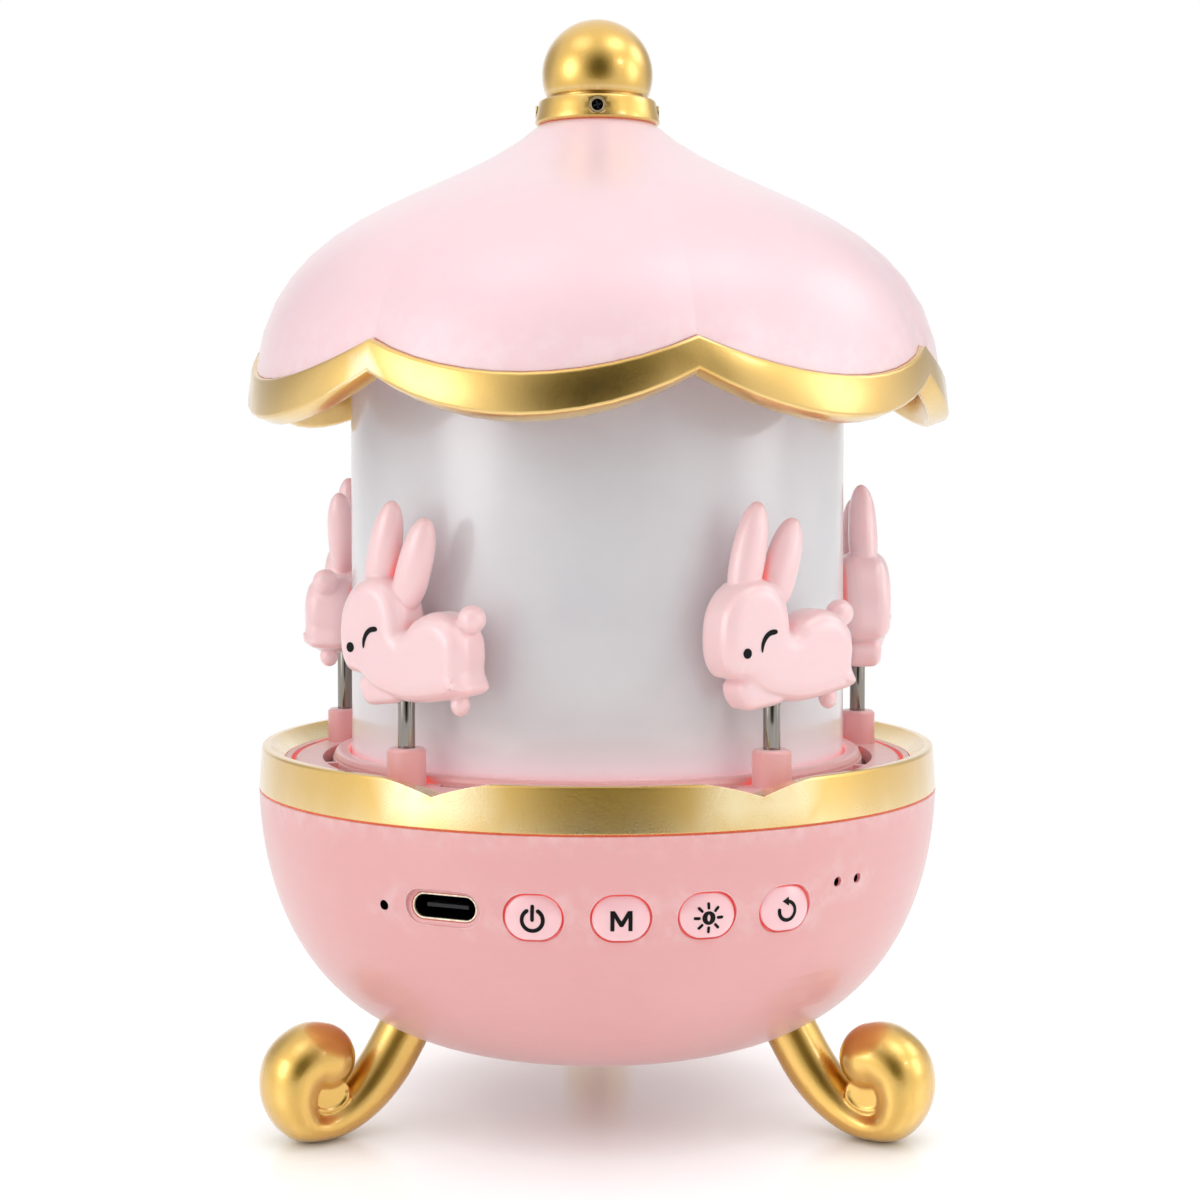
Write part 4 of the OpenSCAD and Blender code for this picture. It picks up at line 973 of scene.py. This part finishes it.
def make_opening_lips():
    """Lips round the buttons, the socket and the small holes."""
    reach_out = 2 * (BUTTON_GAP + 0.07)
    button_outline = stadium(BUTTON_W + reach_out, BUTTON_H + reach_out)
    socket_outline = stadium(USB_W + 2 * USB_RECESS_MARGIN, USB_H + 2 * USB_RECESS_MARGIN)
    hole_outline = circle(PIN_HOLE_R + 0.07, points=45)
    openings = [
        ("button_lip_" + name, BUTTON_AZIMUTH + i * BUTTON_PITCH, 0, button_outline)
        for i, name in enumerate(BUTTON_NAMES)]
    openings += [
        ("socket_lip", USB_AZIMUTH, USB_RISE, socket_outline),
        ("led_lip", LED_AZIMUTH, 0, hole_outline),
        ("mic_lip_left", MIC_AZIMUTHS[0], MIC_RISE, hole_outline),
        ("mic_lip_right", MIC_AZIMUTHS[1], MIC_RISE, hole_outline),
    ]
    for name, azimuth, rise, outline in openings:
        opening_lip(name, azimuth, CONTROL_Z + rise, outline)


def make_socket():
    """The charging socket: a thin steel shell, a black throat of painted shade inside it, and the tongue in
    it.
    """
    mouth_r = max(
        -(Matrix.Rotation(math.radians(-USB_AZIMUTH), 3, "Z") @ vertex.co).y
        for vertex in NODES["usb_port"].data.vertices) / MM
    place = at_azimuth(USB_AZIMUTH, mouth_r, CONTROL_Z + USB_RISE)

    def slot(smaller):
        return stadium(USB_W - smaller, USB_H - smaller)

    shell = flat_shape("shell", [slot(0), slot(0.44)], USB_DEPTH / 2 - 0.05, 0.05)
    throat = flat_shape("throat", [slot(0.48), slot(1.0)], USB_DEPTH / 2 - 0.2)
    back = flat_shape("back", [slot(0.6)], 0.4)
    tongue_outline = refine([(-2.9, -0.25), (2.9, -0.25), (2.9, 0.25), (-2.9, 0.25)], 2)
    tongue = flat_shape("tongue", [tongue_outline], 2.8, 0.08)
    for piece, inset in (
            (shell, USB_DEPTH / 2), (throat, USB_DEPTH / 2 + 0.05), (back, USB_DEPTH - 1), (tongue, 3.7)):
        piece.data.transform(Matrix.Translation((0, inset, 0)))
        set_place(piece, place)
    finish_piece(shell, "socket_shell", "base", "socket_steel")
    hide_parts("usb_port")
    inside = join_pieces([throat, back])
    finish_piece(inside, "socket_throat", "base", "switch_black", HOLE_SHADE_BLACK)
    finish_piece(tongue, "socket_tongue", "base", "switch_black", TONGUE_BLACK)


def make_controls():
    """Everything on the bowl's front."""
    make_buttons()
    make_opening_lips()
    make_socket()
    pin_hole_floor("led_window", LED_AZIMUTH, CONTROL_Z, depth_mm=0.08)
    for side, azimuth in zip(("left", "right"), MIC_AZIMUTHS):
        pin_hole_floor("mic_cloth_" + side, azimuth, CONTROL_Z + MIC_RISE, depth_mm=0.06)


# ---------------------------------------------------------------- camera, lamps and floor

CAMERA_AT = (0.035, -314.11, 90.0)
CAMERA_TILT = -1.582
CAMERA_TURN = -0.06
FOCUS_PX = 2247.0
FRAME_PX = 1200
WHITE = (1, 1, 1, 1)
SOFTBOXES = (  # name, place in metres, size in metres, glow
    ("left_softbox", outward(-58) * 0.75 + Vector((0, 0, 0.32)), (0.7, 0.6), 1.12),
    ("right_softbox", outward(64) * 0.75 + Vector((0, 0, 0.3)), (0.7, 0.6), 1.05),
    ("top_softbox", Vector((0.1, -0.1, 0.8)), (0.6, 0.5), 1.0),
)
CARDS = (  # name, azimuth, elevation, distance, width and height in metres, shine
    ("left_card", -58, 13, 0.62, 0.5, 0.56, 3.8),
    ("right_card", 78, 12, 0.62, 0.42, 0.5, 3.0),
    ("small_card", 49, 25, 0.55, 0.12, 0.11, 8.0),
    ("top_card", 58, 58, 0.6, 0.5, 0.4, 3.0),
    ("left_high_card", -50, 60, 0.6, 0.5, 0.4, 2.2),
    ("right_high_card", 100, 34, 0.6, 0.4, 0.35, 3.0),
    ("front_card", 3, 12, 0.45, 0.72, 0.9, 0.0),
    ("back_left_card", -125, 20, 0.75, 0.9, 0.9, 0.5),
    ("back_right_card", 135, 20, 0.75, 0.9, 0.9, 0.5),
    ("sky_card", 0, 90, 0.9, 1.5, 1.5, 1.1),
)


def make_camera():
    """A camera just above the rim's height, with a small shift that puts the lamp in the frame."""
    camera = bpy.data.cameras.new("camera")
    camera.sensor_width = 36.0
    camera.lens = FOCUS_PX / FRAME_PX * camera.sensor_width
    camera.shift_y = -0.07
    camera.clip_start = 0.01
    camera.clip_end = 20
    holder = bpy.data.objects.new("camera", camera)
    holder.location = [part * MM for part in CAMERA_AT]
    holder.rotation_euler = (math.radians(90 + CAMERA_TILT), 0, math.radians(CAMERA_TURN))
    bpy.context.scene.collection.objects.link(holder)
    bpy.context.scene.camera = holder


def softbox(name, place, size, glow):
    """A rectangular soft lamp that aims at the light tube. Its face shines at the strength glow, where 1
    is white, and gloss doesn't see it."""
    lamp = bpy.data.lights.new(name, "AREA")
    lamp.shape = "RECTANGLE"
    lamp.size, lamp.size_y = size
    lamp.energy = glow * math.pi * size[0] * size[1]
    holder = bpy.data.objects.new(name, lamp)
    holder.visible_glossy = False
    holder.location = place
    holder.rotation_mode = "QUATERNION"
    holder.rotation_quaternion = (Vector((0, 0, 0.08)) - place).to_track_quat("-Z", "Y")
    bpy.context.scene.collection.objects.link(holder)


def seen_directly(finish):
    """1 for rays from the camera, from gloss and through glass."""
    camera, glossy, through = (
        finish.node("ShaderNodeLightPath", output=kind)
        for kind in ("Is Camera Ray", "Is Glossy Ray", "Is Transmission Ray"))
    return finish.node("ShaderNodeMath", {"operation": "MINIMUM"}, {0: camera + glossy + through, 1: 1.0})


def make_world():
    """An even white sky: plain white to the camera and to gloss, and dimmer as a lamp."""
    world = bpy.data.worlds.new("studio")
    bpy.context.scene.world = world
    made = Finish("studio", world)
    strength = 0.7 + seen_directly(made) * 0.3
    sky = made.node("ShaderNodeBackground", {}, {"Color": WHITE, "Strength": strength})
    made.node("ShaderNodeOutputWorld", {}, {"Surface": sky})


def make_floor():
    """A white board that fades into the white background. Near the object it keeps the shadow, which is
    lifted a little with the distance from the middle and in the open."""
    bpy.ops.mesh.primitive_plane_add(size=8)
    floor = bpy.context.active_object
    floor.name = "floor"
    made = Finish("floor")
    seen = seen_directly(made)
    distance = made.length(made.place())
    paper = made.node("ShaderNodeBsdfDiffuse", {}, {"Color": (0.84, 0.84, 0.84, 1)})
    gloss = made.node(
        "ShaderNodeBsdfAnisotropic", {}, {"Color": (0.95, 0.95, 0.95, 1), "Roughness": 0.22})
    board = made.node("ShaderNodeMixShader", {}, {0: 0.22, 1: paper, 2: gloss})
    clear = made.between(distance, 0.0, 0.045, 0.16, 0.42) * made.open_air(12, 8)
    dark = made.node("ShaderNodeEmission", {}, {"Strength": 0.0})
    light = made.node("ShaderNodeEmission", {}, {"Color": (0.92, 1, 1, 1), "Strength": 1.0})
    lift = made.node("ShaderNodeMixShader", {}, {0: seen * clear, 1: dark, 2: light})
    near = made.node("ShaderNodeAddShader", {}, {0: board, 1: lift})
    white = made.node("ShaderNodeEmission", {}, {"Color": WHITE, "Strength": 1.0})
    far = made.between(distance, 0.07, 0.24)
    mixed = made.node("ShaderNodeMixShader", {}, {0: far * seen, 1: near, 2: white})
    made.node("ShaderNodeOutputMaterial", {}, {"Surface": mixed})
    floor.data.materials.append(made.material)


def card(name, azimuth, elevation, distance, width, height, shine):
    """A studio card that only gloss sees, for the gold and the rods to mirror. Its middle shines at the
    strength shine, and it fades to the white of the sky towards its edge."""
    bpy.ops.mesh.primitive_plane_add(size=1)
    panel = bpy.context.active_object
    panel.name = name
    rise = math.radians(elevation)
    away = outward(azimuth) * math.cos(rise) + Vector((0, 0, math.sin(rise)))
    turn = away.to_track_quat("Z", "Y").to_matrix().to_4x4()
    middle = Vector((0, 0, 0.09)) + away * distance
    panel.data.transform(Matrix.Translation(middle) @ turn @ Matrix.Diagonal((width, height, 1, 1)))
    made = Finish(name)
    across = made.node("ShaderNodeTexCoord", output="UV")
    offset = made.node("ShaderNodeVectorMath", {"operation": "SUBTRACT"}, {0: across, 1: (0.5, 0.5, 0)})
    spread = made.length(offset)
    inner = made.node("ShaderNodeEmission", {}, {"Color": WHITE, "Strength": shine})
    outer = made.node("ShaderNodeEmission", {}, {"Color": WHITE, "Strength": 1.0})
    glow = made.node("ShaderNodeMixShader", {}, {0: made.between(spread, 0.12, 0.52), 1: inner, 2: outer})
    made.node("ShaderNodeOutputMaterial", {}, {"Surface": glow})
    panel.data.materials.append(made.material)
    panel.visible_camera = False
    panel.visible_diffuse = False
    panel.visible_transmission = False
    panel.visible_shadow = False


def make_studio():
    make_world()
    make_floor()
    for settings in SOFTBOXES:
        softbox(*settings)
    for settings in CARDS:
        card(*settings)


bpy.context.scene.view_settings.view_transform = "Standard"
dress_frame()
make_dome()
make_tube()
make_collar_screws()
make_rods()
make_rabbits()
make_feet()
make_controls()
make_camera()
make_studio()
